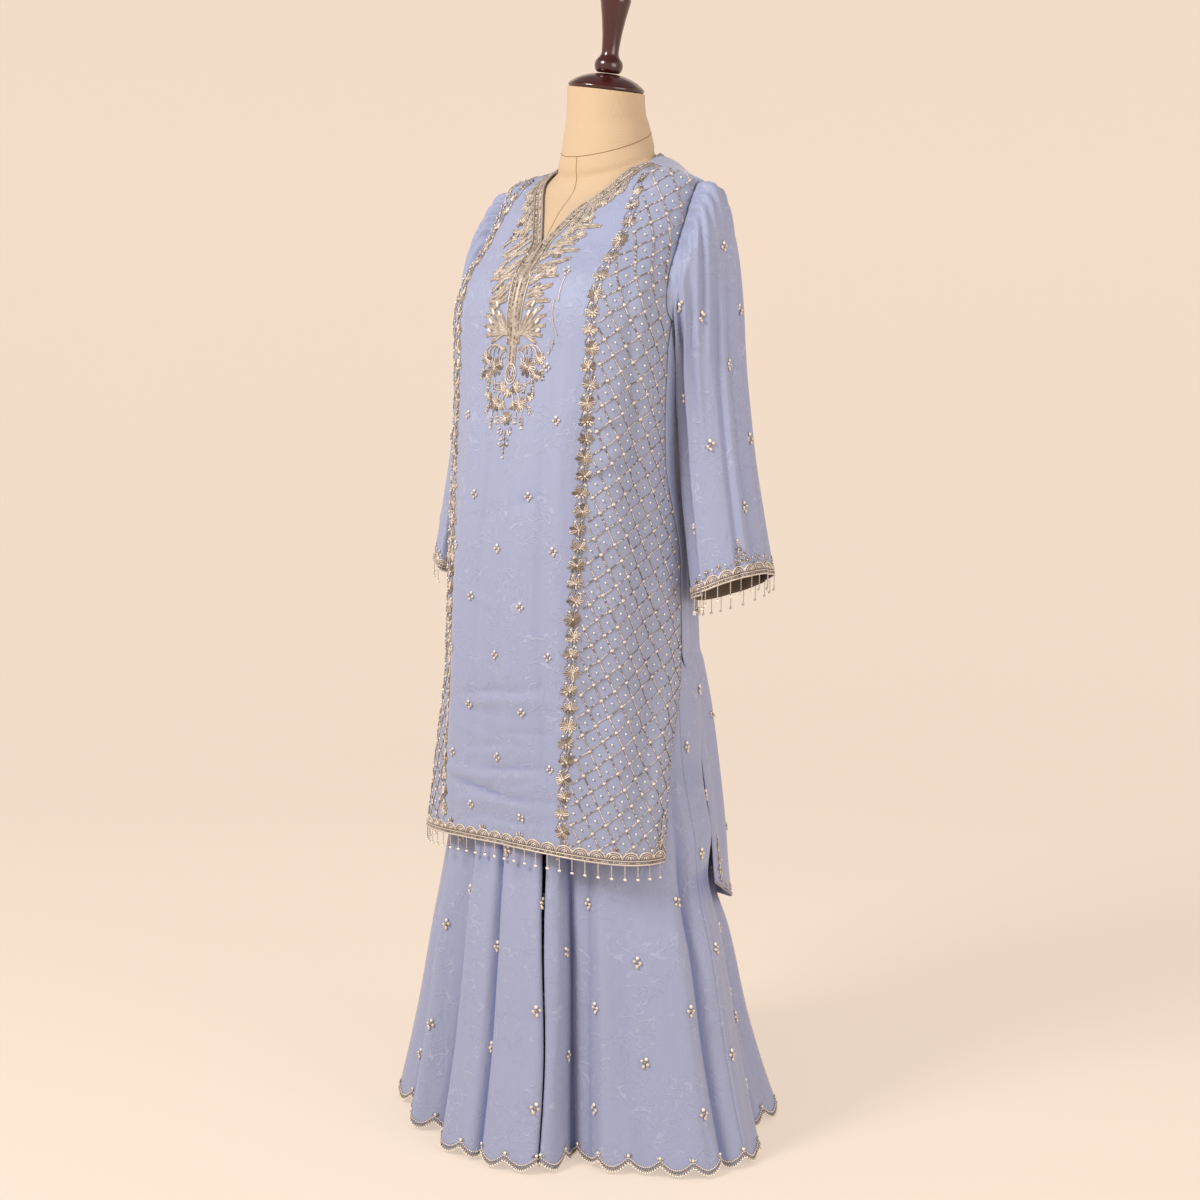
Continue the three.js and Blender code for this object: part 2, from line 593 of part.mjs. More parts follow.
// ---------------------------------------------------------------- dress form
// Sections of the linen torso below the bust; above it the torso fills the kurta's sections.
const FORM = table(['z', 'half', 'side', 'front', 'back'], [
  [800, 146, 0, -108, 96],
  [850, 152, 0, -112, 100],
  [920, 142, -5, -106, 95],
  [985, 129.5, -10, -100, 84],
  [1012, 126, -12, -97, 82],
  [1070, 127, -18, -100, 86],
  [1130, 148, -20, -114, 100],
  [1195, 176, -14, -132, 118],
]);
const FORM_CLEAR = 0.4;       // under the shoulder seams, where the kurta hangs
const FORM_EASE = 5;        // further in, away from them
const FORM_COLUMNS = 36;
const formLine = columns(FORM);
const lowerForm = (inFront) => (z) => {
  const middle = inFront ? formLine.front(z) : formLine.back(z);
  return [formLine.half(z), formLine.side(z), middle, 2];
};

// A ring of the torso, from the front round by the left side, moved out by `out`.
function formRing(z, out = 0) {
  const lying = (turn) => {
    const inside = Math.abs(Math.cos(rad(turn))) ** 0.7 + Math.abs(Math.sin(rad(2 * turn))) ** 0.6;
    return z > NECK_POINT.z ? 0 : -CLOTH - FORM_CLEAR - FORM_EASE * inside;
  };
  const half = (inFront, turns) => turns.map((turn) => {
    if (z <= UNDERARM_Z) return onSection(lowerForm(inFront), turn, z, inFront ? 1 : -1, out);
    return onSection(inFront ? frontSection : backSection, turn, z, inFront ? 1 : -1, lying(turn));
  });
  const turns = steps(FORM_COLUMNS / 4).map((t) => 90 * t);
  const left = [...half(true, turns), ...half(false, turns.slice(0, -1)).reverse()];
  return [...left, ...mirrored([left.slice(1, -1).reverse()])[0]];
}

const FORM_ROWS = [FORM_BOTTOM_Z, 850, 920, WAIST_Z + SEAM, WAIST_TOP_Z, 1070, 1130,
  ...CENTRE_ROWS.filter((z) => z >= UNDERARM_Z), NECK_POINT.z, NECK_SEAM_Z];

function torso() {
  const rings = FORM_ROWS.map((z) => formRing(z));
  const bottom = formRing(FORM_BOTTOM_Z, -12).map((p) => p.setZ(FORM_BOTTOM_Z - 5));
  const centre = (ring) => {
    const middle = ring.reduce((sum, p) => sum.add(p), new THREE.Vector3()).divideScalar(ring.length);
    return ring.map(() => middle.clone());
  };
  const rows = [centre(bottom), bottom, ...rings, centre(rings.at(-1))];
  place(form, 'form_torso', new Cloth().grid(rows, { closed: true }).solid(), linen());
  neck(rings.at(-1), centre);
}

// The neck stands on the torso's slanting top ring and narrows to its leaning top.
const NECK_SHAPE = table(['up', 'size'], [[0, 1], [0.2, 0.96], [0.55, 0.88], [1, 0.86]]);
function neck(seamRing, centre) {
  const rings = NECK_SHAPE.map(({ up, size }) => seamRing.map((p) => {
    const [x, y] = [p.x * size, NECK_Y + (p.y - NECK_Y) * size];
    const top = NECK.topZ - x * Math.tan(rad(NECK.lean));
    return new THREE.Vector3(x, y, lerp(p.z + SEAM, top, up));
  }));
  const rows = [centre(rings[0]), ...rings, centre(rings.at(-1))];
  place(form, 'form_neck', new Cloth().grid(rows, { closed: true }).solid(), linen());
}

// Turned pieces, from profiles of radius and height.
function turned(profile, segments = 32) {
  const points = profile.map(([radius, z]) => new THREE.Vector2(radius, z));
  return new THREE.LatheGeometry(points, segments).rotateX(Math.PI / 2);
}

function capAndFinial() {
  const top = new THREE.Group();
  top.position.set(0, NECK_Y, NECK.topZ + SEAM);
  top.rotation.y = rad(NECK.lean);
  form.add(top);
  place(top, 'form_cap', turned([
    [0, 0], [54, 0], [56, 1.5], [56, 5], [53.5, 7.5], [46, 13], [34, 18.5], [22, 22], [0, 23.5],
  ]), mahogany());
  place(top, 'form_finial', turned([
    [0, 24], [15, 24], [19, 27], [20.5, 32], [20.5, 38], [18, 43], [13.5, 47], [12.5, 53], [14, 75],
    [17.5, 100], [21.5, 121], [22.5, 128], [20.5, 132.5], [13, 136], [0, 137.5],
  ], 24), mahogany());
}

// The stand: a round base on the floor and a pole in its socket, with a plate under the torso.
// The pole runs down inside the right leg.
function stand() {
  const { radius, thickness, bossRadius, bossTop } = BASE;
  const socket = POLE.radius + SEAM;
  const floor = thickness - 3;
  place(suit, 'form_base', turned([
    [0, 0], [radius - 2, 0], [radius, 2], [radius, thickness - 3], [radius - 4, thickness],
    [bossRadius + 8, thickness + 2], [bossRadius, bossTop - 12], [bossRadius - 4, bossTop],
    [socket, bossTop], [socket, floor], [0, floor],
  ], 48), steel());
  const top = DATUM + FORM_BOTTOM_Z - 5 - SEAM;
  place(suit, 'form_pole', turned([
    [0, floor + SEAM], [POLE.radius, floor + SEAM], [POLE.radius, top - POLE.plateThickness],
    [POLE.plateRadius, top - POLE.plateThickness], [POLE.plateRadius, top], [0, top],
  ], 24), steel());
}

kurtaPanels();
floralBorders();
neckBands();
hemTrims();
sleeves();
legPieces();
for (const side of ['left', 'right']) {
  place(shararaGroup, `sharara_${side}_hem_edging`, hemEdging(side), beadwork());
}
waistband();
torso();
capAndFinial();
stand();
for (const group of [kurta, shararaGroup, form]) group.position.z = DATUM;

export default suit;
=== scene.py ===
# A sharara suit on a limbless dress form. Lengths are in millimetres until a mesh is made.
import math
from collections import namedtuple

import bpy
import numpy as np
from mathutils import Matrix


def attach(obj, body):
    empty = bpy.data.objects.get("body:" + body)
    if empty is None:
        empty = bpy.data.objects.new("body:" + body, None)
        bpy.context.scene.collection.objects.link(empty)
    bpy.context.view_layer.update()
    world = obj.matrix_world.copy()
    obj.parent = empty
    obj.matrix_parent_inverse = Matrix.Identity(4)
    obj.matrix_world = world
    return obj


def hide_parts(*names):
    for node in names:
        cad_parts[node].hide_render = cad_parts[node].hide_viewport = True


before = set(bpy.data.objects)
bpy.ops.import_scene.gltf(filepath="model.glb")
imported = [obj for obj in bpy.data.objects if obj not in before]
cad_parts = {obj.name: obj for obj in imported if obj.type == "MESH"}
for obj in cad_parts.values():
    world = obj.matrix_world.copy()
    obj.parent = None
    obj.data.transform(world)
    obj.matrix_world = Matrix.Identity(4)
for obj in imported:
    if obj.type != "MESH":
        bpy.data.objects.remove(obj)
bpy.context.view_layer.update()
rng = np.random.default_rng(7)

# ------------------------------------------------------------------ dimensions
SIDES = {"left": 1, "right": -1}       # of the wearer; the left is +X and the front is -Y
DATUM = 7                     # heights are measured from this far off the floor
CLOTH, SEAM = 1.0, 0.4        # thickness of the cloth, and the gap at a seam
NECK_Y = 60
NECK_TILT = 0.36
NECK_POINT = (74, 1424)
SHOULDER_Z, UNDERARM_Z = 1388, 1195
V_BOTTOM_Z, BACK_NECK_Z = 1304, 1408
HEM_HALF = 216                # half the width of the kurta at its hem
HEM_FRONT_Z, HEM_FRONT_DROP, FRONT_LEVEL_Z = 447, 16, 600     # the front's rows are level above
HEM_BACK_Z, HEM_BACK_RISE, BACK_LEVEL_Z = 322, 56, 560
TOP_Z, SIDE_TOP_Z = 1422.5, 1414
CLOSE_Z, CLOSE_GAP = 1368, 3  # rows stand closer above this, over the shoulders
SLIT_TOP_Z = 715
WAIST_Z, WAIST_TOP_Z, CROTCH_Z, RISE_TOP_Z = 985, 1012, 735, 788
LEG_LOW_Z = -2.5              # the scallops' lowest points
SCALLOP = (47, 13)
BASE_RADIUS, BASE_LIFT = 165, 10
ARMHOLE_CUT = {"front": 9, "back": 16}
SEAM_TURN = 0.12


# ------------------------------------------------------------------ small tools
def ease(t):
    t = np.clip(t, 0, 1)
    return t * t * (3 - 2 * t)


def lerp(a, b, t):
    return a + (b - a) * t


def vec(x, y, z):
    return np.stack(np.broadcast_arrays(x, y, z), -1).astype(float)


def unit(v):
    return v / np.maximum(np.linalg.norm(v, axis=-1, keepdims=True), 1e-9)


def matched(a, b):
    """Two arrays of numbers, or a number and an array, in the same shape."""
    return np.broadcast_arrays(np.asarray(a, float), np.asarray(b, float))


def chosen(mask, where_true, where_false):
    """Frames from one list where the mask is true, and from the other elsewhere."""
    return [np.where(mask[..., None], a, b) for a, b in zip(where_true, where_false)]


def distances(path):
    """How far along a path each of its points lies."""
    return np.concatenate([[0], np.cumsum(np.linalg.norm(np.diff(path, axis=0), axis=1))])


def curve(xs, ys):
    """A smooth curve through points, without overshoot."""
    xs, ys = np.array(xs, float), np.array(ys, float)
    h = np.diff(xs)
    d = np.diff(ys) / h
    m = np.concatenate([d[:1], d[:-1] * 0, d[-1:]])
    same = d[:-1] * d[1:] > 0
    total = np.where(same, d[:-1] + d[1:], 1)
    m[1:-1] = np.where(same, 2 * d[:-1] * d[1:] / total, 0)

    def at(x):
        x = np.clip(x, xs[0], xs[-1])
        i = np.clip(np.searchsorted(xs, x, side="right") - 1, 0, len(h) - 1)
        t = (x - xs[i]) / h[i]
        return (ys[i] * (1 + 2 * t) * (1 - t) ** 2 + m[i] * h[i] * t * (1 - t) ** 2
                + ys[i + 1] * t * t * (3 - 2 * t) + m[i + 1] * h[i] * t * t * (t - 1))
    return at


def curves(rows):
    """One curve for each column after the first."""
    table = list(zip(*rows))
    return [curve(table[0], column) for column in table[1:]]


# ------------------------------------------------------------------ sections of the kurta
# Columns: height, half width, y of the side, y of the middle, squareness.
FRONT = curves([
    (430, 216, -66, -189, 2.4), (560, 200, -34, -189, 2.4), (700, 186, 8, -192, 2.4),
    (850, 182, 9, -184, 2.4), (1000, 173, -15, -168, 2.4), (1150, 181, -21, -146, 2.6),
    (1200, 184, -14, -142, 2.7), (1250, 182, 9, -127, 2.7), (1300, 177, 40, -86, 2.6),
    (1350, 175, 57, -48, 2.5), (1388, 172, 61, -24, 2.2), (1405, 140, 60, -14, 2.1),
    (1424, 78, 60, -9, 2.0), (1452, 66, 60, -6, 2.0)])
BACK = curves([
    (320, 228, 44, 188, 2.1), (395, 219, 44, 181, 2.1), (450, 212, 46, 177, 2.1),
    (565, 196, 41, 172, 2.1), (620, 190, 35, 168, 2.1), (700, 186, 15, 150, 2.1),
    (720, 185.6, 8.5, 146, 2.0), (850, 182, 9, 130, 2.0), (1000, 173, -15, 112, 2.0),
    (1150, 181, -21, 120, 2.1), (1200, 184, -14, 125, 2.3), (1250, 181, 10, 129, 2.7),
    (1300, 177, 40, 132, 3.0), (1350, 175, 57, 134, 2.8), (1388, 172, 61, 134, 2.2),
    (1405, 140, 60, 132, 2.1), (1424, 78, 60, 129, 2.0), (1452, 66, 60, 126, 2.0)])
# How far the princess seam and its border lie from the middle, by height.
BORDER_X = curve([430, 700, 1000, 1150, 1300, 1345, 1388, 1412],
                 [114, 120, 124, 126, 127, 123, 115, 106])


def on_section(section, turn, z):
    """A place on a section by its turn from the middle, in degrees, and its height."""
    half, side, middle, square = (column(z) for column in section)
    across = np.sin(np.radians(turn))
    y = side + (middle - side) * np.clip(1 - np.abs(across) ** square, 0, 1) ** (1 / square)
    tilt = NECK_TILT * ease((z - 1340) / 90) * (1 - ease((half * np.abs(across) - 84) / 60))
    return vec(half * across, y, z + tilt * (y - NECK_Y))


def turn_of(section, x, z):
    return np.degrees(np.arcsin(np.clip(x / section[0](z), 0, 1)))


def edge_turn(z, cut):
    """The turn of a panel's side edge, which the armhole cuts back by up to cut degrees."""
    depth = np.clip((SHOULDER_Z - z) / (SHOULDER_Z - UNDERARM_Z), 0, 1)
    return 90 - cut * np.clip(np.sin(np.pi * depth ** 0.68), 0, 1) ** 0.6


def neck_x(z):
    return NECK_POINT[0] * np.clip((z - V_BOTTOM_Z) / (NECK_POINT[1] - V_BOTTOM_Z), 0, 1) ** 0.96


def back_neck_x(z):
    return NECK_POINT[0] * np.clip((z - BACK_NECK_Z) / (NECK_POINT[1] - BACK_NECK_Z), 0, 1) ** 0.5


def hem_front(x):
    return HEM_FRONT_Z - HEM_FRONT_DROP * (np.abs(x) / HEM_HALF) ** 2


def hem_back(turn):
    return HEM_BACK_Z + HEM_BACK_RISE * (np.abs(turn) / 90) ** 3


# ------------------------------------------------------------------ creases
def creases(rows, across, along):
    """Soft troughs and ridges that run along the cloth.
    Each row: across at its high end and at its low end, high and low end, half width, height."""
    total = np.zeros(np.broadcast(across, along).shape)
    for top, bottom, high, low, width, height in rows:
        t = (along - low) / (high - low)
        inside = ease(np.clip(np.minimum(t, 1 - t) * 3.2, 0, 1))
        total += height * inside * np.exp(-((across - lerp(bottom, top, t)) / width) ** 2)
    return total


def cross_creases(rows, across, along):
    """Creases that run across. Each row: middle across and along, half length, slope, half width, height."""
    total = np.zeros(np.broadcast(across, along).shape)
    for middle, level, reach, slope, width, height in rows:
        away = (across - middle) / reach
        line = level + slope * (across - middle) + 3 * np.sin(away * 2.6 + level)
        total += height * np.exp(-away ** 4) * np.exp(-((along - line) / width) ** 2)
    return total


# Of the front, by turn in degrees (negative to the right) and height.
FRONT_CREASES = [
    (8, 12, 1180, 420, 5, 4.3), (-10, -14, 1150, 420, 4.5, -3.9), (22, 27, 1150, 400, 4, -3.5),
    (31, 36, 1230, 420, 5, 3.9), (-24, -30, 1210, 400, 5, 3.9), (-36, -41, 1100, 420, 4, -3.5),
    (45, 49, 1180, 400, 5, -3.5), (57, 60, 1260, 400, 5, 3.5), (70, 72, 1180, 400, 5, -4.3),
    (-52, -56, 1240, 400, 5, 3.5), (-66, -70, 1180, 400, 5, -3.9), (2, 0, 900, 380, 6, -3.1),
    (64, 78, 1300, 1010, 3.2, 2.9), (58, 74, 1290, 930, 2.8, -2.9), (-64, -78, 1300, 1000, 3, 2.9),
    (82, 80, 860, 430, 3, 4.3), (-82, -80, 860, 430, 3, 4.3)]
FRONT_CROSS = [
    (-2, 668, 26, 0.5, 7, -1.8), (6, 655, 30, 0.3, 7, 1.8), (-12, 640, 20, -0.4, 6, -1.4),
    (10, 560, 24, 0.25, 6, -1.8), (-6, 545, 28, 0.2, 7, 1.9), (8, 520, 30, -0.2, 6, -1.9),
    (-4, 505, 26, 0.3, 6, 1.8), (12, 488, 24, 0.2, 5, -1.5), (4, 930, 22, 0.6, 8, -1.2),
    (-14, 800, 18, -0.6, 7, 1.2), (58, 985, 16, 1.2, 8, -1.8), (62, 1012, 16, 1.5, 8, 1.8),
    (60, 1045, 14, 1.8, 8, -1.5), (56, 700, 18, 0.8, 8, 1.2), (50, 640, 18, 0.8, 8, -1.2),
    (-60, 1000, 16, -1.5, 8, -1.6), (-58, 1030, 16, -1.6, 8, 1.6),
    (16, 612, 14, 0.5, 4, -1.3), (-14, 604, 12, -0.7, 4, 1.3), (4, 592, 16, 0.4, 4, -1.2),
    (18, 534, 12, 0.6, 3.6, 1.4), (-16, 528, 14, -0.5, 3.6, -1.4), (2, 472, 18, 0.25, 3.6, 1.2),
    (-20, 476, 12, 0.5, 3.4, -1.3), (20, 462, 12, -0.4, 3.4, 1.2), (-8, 574, 12, 0.7, 3.8, 1.2)]
BACK_CREASES = [
    (6, 10, 1180, 330, 6, 4.8), (-8, -13, 1150, 330, 6, -4.5), (22, 27, 1100, 300, 6, -4.8),
    (34, 42, 1150, 300, 6, 4.8), (-24, -29, 1150, 300, 6, 4.5), (-38, -44, 1100, 300, 6, -4.5),
    (50, 56, 1050, 300, 5, -4.5), (62, 70, 1150, 300, 5, 4.5), (-54, -60, 1120, 300, 5, 4.5),
    (-68, -72, 1080, 300, 5, -3.9), (76, 80, 1000, 300, 4, -3.6), (-78, -82, 1000, 300, 4, 3.6)]
BACK_CROSS = [
    (-10, 1010, 30, 0.5, 10, -2.2), (8, 985, 36, -0.4, 11, 2.2), (2, 960, 30, 0.2, 9, -2.0),
    (40, 1030, 22, 1.4, 9, 1.8), (-42, 1035, 22, -1.4, 9, 1.8), (6, 700, 18, 0.9, 12, 0.9)]


def front_relief(turn, z):
    calm = ease((1330 - z) / 90)
    return calm * (creases(FRONT_CREASES, turn, z) + cross_creases(FRONT_CROSS, turn, z))


def back_relief(turn, z):
    calm = ease((1350 - z) / 120)
    return calm * (creases(BACK_CREASES, turn, z) + cross_creases(BACK_CROSS, turn, z))


# ------------------------------------------------------------------ panels as grids
def grid_normals(points):
    along = np.gradient(points, axis=1)
    up = np.gradient(points, axis=0)
    return unit(np.cross(along, up))


# Cloth gets painted shade in its troughs: a darker blue is mixed into its colour there.
SHALLOW = 0.5                 # a trough no deeper than this isn't shaded


class Panel:
    """A grid of points seen from outside: columns run to the wearer's left in front, rows go up."""

    def __init__(self, points, relief=None, outward=1):
        if relief is not None:
            points = points + outward * grid_normals(points) * relief[..., None]
        self.points = points
        self.normals = outward * grid_normals(points)

    def at(self, u, v):
        """Places and frames at fractions of the columns and the rows."""
        rows, columns = self.points.shape[:2]
        c = np.clip(u, 0, 1) * (columns - 1)
        r = np.clip(v, 0, 1) * (rows - 1)
        c0 = np.minimum(c.astype(int), columns - 2)
        r0 = np.minimum(r.astype(int), rows - 2)
        s, t = (c - c0)[..., None], (r - r0)[..., None]

        def mix(a):
            low = lerp(a[r0, c0], a[r0, c0 + 1], s)
            high = lerp(a[r0 + 1, c0], a[r0 + 1, c0 + 1], s)
            return lerp(low, high, t)
        place, normal = mix(self.points), unit(mix(self.normals))
        across = unit(np.cross([0, 0, 1.0], normal))
        return place, normal, across, np.cross(normal, across)

    def painted_trough_shade(self):
        """How far each point lies in a trough, across the panel or up it, from 0 to 1; the cloth gets this
        much painted shade there.
        """
        found = 0
        for axis, reach, depth in ((1, 9, 9.0), (0, 6, 3.6)):      # reach in points, depth in mm
            points = np.moveaxis(self.points, axis, 1)
            head = 2 * points[:, :1] - points[:, reach:0:-1]
            tail = 2 * points[:, -1:] - points[:, -2:-2 - reach:-1]
            wide = np.concatenate([head, points, tail], axis=1)
            total = np.cumsum(np.concatenate([wide[:, :1] * 0, wide], axis=1), axis=1)
            mean = (total[:, 2 * reach + 1:] - total[:, :-2 * reach - 1]) / (2 * reach + 1)
            away = np.sum(np.moveaxis(mean - points, 1, axis) * self.normals, axis=2)
            found = np.maximum(found, np.clip((away - SHALLOW) / depth, 0, 1))
        return found

    def mirrored(self):
        """The same panel on the other side of the body."""
        self.points, self.normals = self.points * [-1, 1, 1], self.normals * [-1, 1, 1]
        return self


def even_columns(points, count):
    """The same rows, with columns at equal distances along each."""
    out = np.empty((len(points), count, 3))
    for r, row in enumerate(points):
        along = distances(row)
        goal = np.linspace(0, along[-1], count)
        for k in range(3):
            out[r, :, k] = np.interp(goal, along, row[:, k])
    return out


def widths(points):
    return np.linalg.norm(np.diff(points, axis=1), axis=2).sum(1)


def rows_up_to(low, count, top, close_count):
    """Levels of a panel's rows: count of them up to CLOSE_Z, and closer ones above it."""
    close = np.linspace(CLOSE_Z + CLOSE_GAP, top, close_count)
    return np.concatenate([np.linspace(low, CLOSE_Z, count), close])


def share_of(level, levels):
    """Where a level lies among the rows, from 0 to 1."""
    return np.interp(level, levels, np.arange(len(levels))) / (len(levels) - 1)


def on_both(panels, right, u, v):
    """Places and frames on the left panel of a pair, or on the right one where right is true."""
    return chosen(right, panels[-1].at(u, v), panels[1].at(u, v))


# ------------------------------------------------------------------ kurta front
def front_height(level, x):
    """The height of a row of the front at x: rows near the hem follow its curve."""
    near = np.clip((FRONT_LEVEL_Z - level) / (FRONT_LEVEL_Z - HEM_FRONT_Z), 0, 1)
    return level + (hem_front(x) - HEM_FRONT_Z) * near ** 2


def level_of(x, z):
    """The row whose height at x is z."""
    level = np.array(z, float)
    for _ in range(4):
        level = level - (front_height(level, x) - z)
    return level


def front_points(levels, u, station):
    """Points, turns and heights of a strip of the front; station(z, u) is x."""
    level = np.broadcast_to(levels[:, None], (len(levels), len(u)))
    z = level
    for _ in range(4):
        x = station(z, u[None, :])
        z = front_height(level, x)
    turn = np.minimum(turn_of(FRONT, x, z), edge_turn(z, ARMHOLE_CUT["front"]) - SEAM_TURN)
    return on_section(FRONT, turn, z), turn, z


def centre_station(z, u):
    return lerp(neck_x(z), BORDER_X(z) - SEAM / 2, u)


def side_station(z, u):
    half = FRONT[0](z)
    turn = lerp(turn_of(FRONT, BORDER_X(z) + SEAM / 2, z), edge_turn(z, ARMHOLE_CUT["front"]), u)
    return half * np.sin(np.radians(turn))


CENTRE_LEVELS = rows_up_to(HEM_FRONT_Z, 176, TOP_Z, 30)
SIDE_LEVELS = rows_up_to(HEM_FRONT_Z, 176, SIDE_TOP_Z, 26)


def front_panel(levels, count, station, side, even=False):
    points, turn, z = front_points(levels, np.linspace(0, 1, count), station)
    relief = front_relief(side * turn, z)
    panel = Panel(even_columns(points, count) if even else points, relief)
    middle = points[:, 0, 0] < 1e-6
    panel.points[middle, 0, 0] = panel.normals[middle, 0, 0] = 0
    return panel if side > 0 else panel.mirrored()


CENTRE = {side: front_panel(CENTRE_LEVELS, 27, centre_station, side) for side in (1, -1)}
SIDE = {side: front_panel(SIDE_LEVELS, 30, side_station, side, even=True) for side in (1, -1)}
SIDE_WIDTH = curve(SIDE_LEVELS, widths(SIDE[1].points))


def on_centre(x, z):
    """A place on the front's middle panel from x (left positive) and height."""
    x, z = matched(x, z)
    low, high = neck_x(z), BORDER_X(z) - SEAM / 2
    u = (np.abs(x) - low) / (high - low)
    return on_both(CENTRE, x < 0, u, share_of(level_of(x, z), CENTRE_LEVELS))


def on_side(side):
    """A place on a side panel from the distance in from its seam and the height."""
    def place(a, z):
        a, z = matched(a, z)
        u = a / SIDE_WIDTH(z)
        level = level_of(lerp(BORDER_X(z), FRONT[0](z), ease(u)), z)
        return on_both(SIDE, np.full(a.shape, side < 0), u, share_of(level, SIDE_LEVELS))
    return place


# ------------------------------------------------------------------ kurta back
BACK_LEVELS = rows_up_to(HEM_BACK_Z, 190, TOP_Z, 30)
BACK_COLUMNS = 50


def back_shift(level, turn):
    """How far a row of the back lies above its level, because rows near the hem follow its curve."""
    near = np.clip((BACK_LEVEL_Z - level) / (BACK_LEVEL_Z - HEM_BACK_Z), 0, 1)
    return (hem_back(turn) - HEM_BACK_Z) * near ** 1.5


def back_panel(side):
    t = np.linspace(0, 1, BACK_COLUMNS)[None, :]
    level = BACK_LEVELS[:, None]
    z = level + back_shift(level, 90 * t)
    edge = edge_turn(z, ARMHOLE_CUT["back"]) - SEAM_TURN
    turn = lerp(turn_of(BACK, back_neck_x(z), z), edge, t)
    panel = Panel(on_section(BACK, turn, z), back_relief(side * turn, z), -1)
    middle = panel.points[:, 0, 0] < 1
    panel.points[middle, 0, 0] = panel.normals[middle, 0, 0] = 0
    return panel if side > 0 else panel.mirrored()


BACK_PANEL = {side: back_panel(side) for side in (1, -1)}


def on_back(turn, up):
    """A place on the back from its turn (left positive) and the height above the hem."""
    turn, up = matched(turn, up)
    z = hem_back(turn) + up
    level = np.array(z)
    for _ in range(6):
        level = z - back_shift(level, turn)
    low = turn_of(BACK, back_neck_x(z), z) / 90
    u = (np.abs(turn) / 90 - low) / (1 - low)
    return on_both(BACK_PANEL, turn < 0, u, share_of(level, BACK_LEVELS))


def on_back_flat(turn0):
    """Millimetres to the wearer's left and above the back's hem, round one direction."""
    def place(a, b):
        half = BACK[0](hem_back(turn0) + b)
        lean = max(math.cos(math.radians(turn0)), 0.55)
        return on_back(turn0 + np.degrees(a / (half * lean)), b)
    return place


# ------------------------------------------------------------------ sleeves
# Columns: share of the length, outer x and z, inner x and z, inner y, y of the middle, depth.
SLEEVE = curves([
    (0.0, 172, 1388, 184, 1195, -14, 37, 47), (0.06, 197, 1385, 187, 1187, -8, 38, 49),
    (0.14, 213, 1352, 186, 1172, 6, 38, 52), (0.25, 221, 1298, 181, 1148, 22, 44, 57),
    (0.38, 226, 1232, 173, 1114, 42, 52, 59), (0.52, 232, 1150, 166, 1060, 54, 57, 60),
    (0.7, 247, 1030, 167, 965, 60, 62, 61), (0.86, 266, 922, 180, 868, 60, 62, 65),
    (1.0, 283, 835, 192, 792, 60, 62, 70)])
SWING = {1: (0, 0), -1: (9, -36)}      # the right sleeve swings out and forward
SLEEVE_LENGTH = 620
# Gathers at the head: direction round the sleeve in degrees (0 above, 90 in front), width, height.
GATHERS = [
    (-72, 4, 2.2), (-58, 3.4, -2.0), (-47, 3.6, 2.6), (-37, 3.2, -2.4), (-28, 3.4, 3.0), (-19, 3.0, -2.8),
    (-11, 3.2, 3.4), (-3, 3.0, -3.0), (5, 3.2, 3.6), (13, 2.9, -3.2), (20, 3.0, 3.4), (27, 2.8, -3.2),
    (35, 3.2, 3.6), (43, 3.0, -3.2), (51, 3.4, 3.4), (60, 3.2, -3.0), (70, 3.8, 2.8), (82, 4, -2.0)]
# Long folds of the sleeve: direction at the top and the bottom, start and end as shares of the
# length, width, height.
SLEEVE_CREASES = [
    (88, 92, 0.02, 1.3, 5, 5.0), (105, 110, 0.02, 1.3, 8, -9.5), (126, 130, 0.04, 1.3, 7, 4.5),
    (72, 78, 0.05, 0.7, 6, -3.0), (58, 66, 0.1, 0.8, 6, 3.2), (46, 55, 0.04, 0.5, 4.5, -3.4),
    (36, 44, 0.1, 0.6, 5, 3.2), (26, 33, 0.16, 1.3, 4, -4.2), (14, 22, 0.06, 1.3, 6, 3.8),
    (2, 8, 0.12, 1.3, 5, -3.4), (-16, -10, 0.06, 1.3, 7, 4.2), (-34, -28, 0.1, 1.3, 6, -4.0),
    (-54, -48, 0.06, 1.3, 7, 4.2), (-78, -72, 0.06, 1.3, 7, -4.8), (-98, -92, 0.06, 1.3, 7, 4.4),
    (-120, -114, 0.1, 1.3, 8, -4.8), (-146, -140, 0.1, 1.3, 8, 3.9), (156, 158, 0.2, 1.3, 10, -4.0)]
SLEEVE_CROSS = [
    (60, 0.42, 40, 0.0006, 0.012, -1.2), (80, 0.45, 40, 0.0005, 0.013, 1.3),
    (40, 0.78, 44, 0.0004, 0.012, -1.2), (60, 0.81, 50, 0.0005, 0.014, 1.4),
    (90, 0.86, 40, -0.0004, 0.012, -1.1), (100, 0.3, 34, 0.0008, 0.012, -1.5),
    (-60, 0.6, 44, 0.0005, 0.014, 1.2), (-90, 0.4, 44, 0.0004, 0.014, -1.2)]


def armhole(around):
    share = np.abs(around) / 180
    z = lerp(SHOULDER_Z, UNDERARM_Z, share)
    front = on_section(FRONT, edge_turn(z, ARMHOLE_CUT["front"]), z)
    back = on_section(BACK, edge_turn(z, ARMHOLE_CUT["back"]), z)
    return np.where((around >= 0)[..., None], front, back) + [SEAM, 0, 0]


def sleeve_ring(around, at):
    """A place on the hanging sleeve by the direction round it and the share of its length."""
    out_x, out_z, in_x, in_z, in_y, mid_y, deep = (column(at) for column in SLEEVE)
    c, s = np.cos(np.radians(around)), np.sin(np.radians(around))
    share = (1 + c) / 2
    y = lerp(in_y, NECK_Y, share) - deep * s + (mid_y - (NECK_Y + in_y) / 2) * s * s
    return vec(lerp(in_x, out_x, share), y, lerp(in_z, out_z, share))


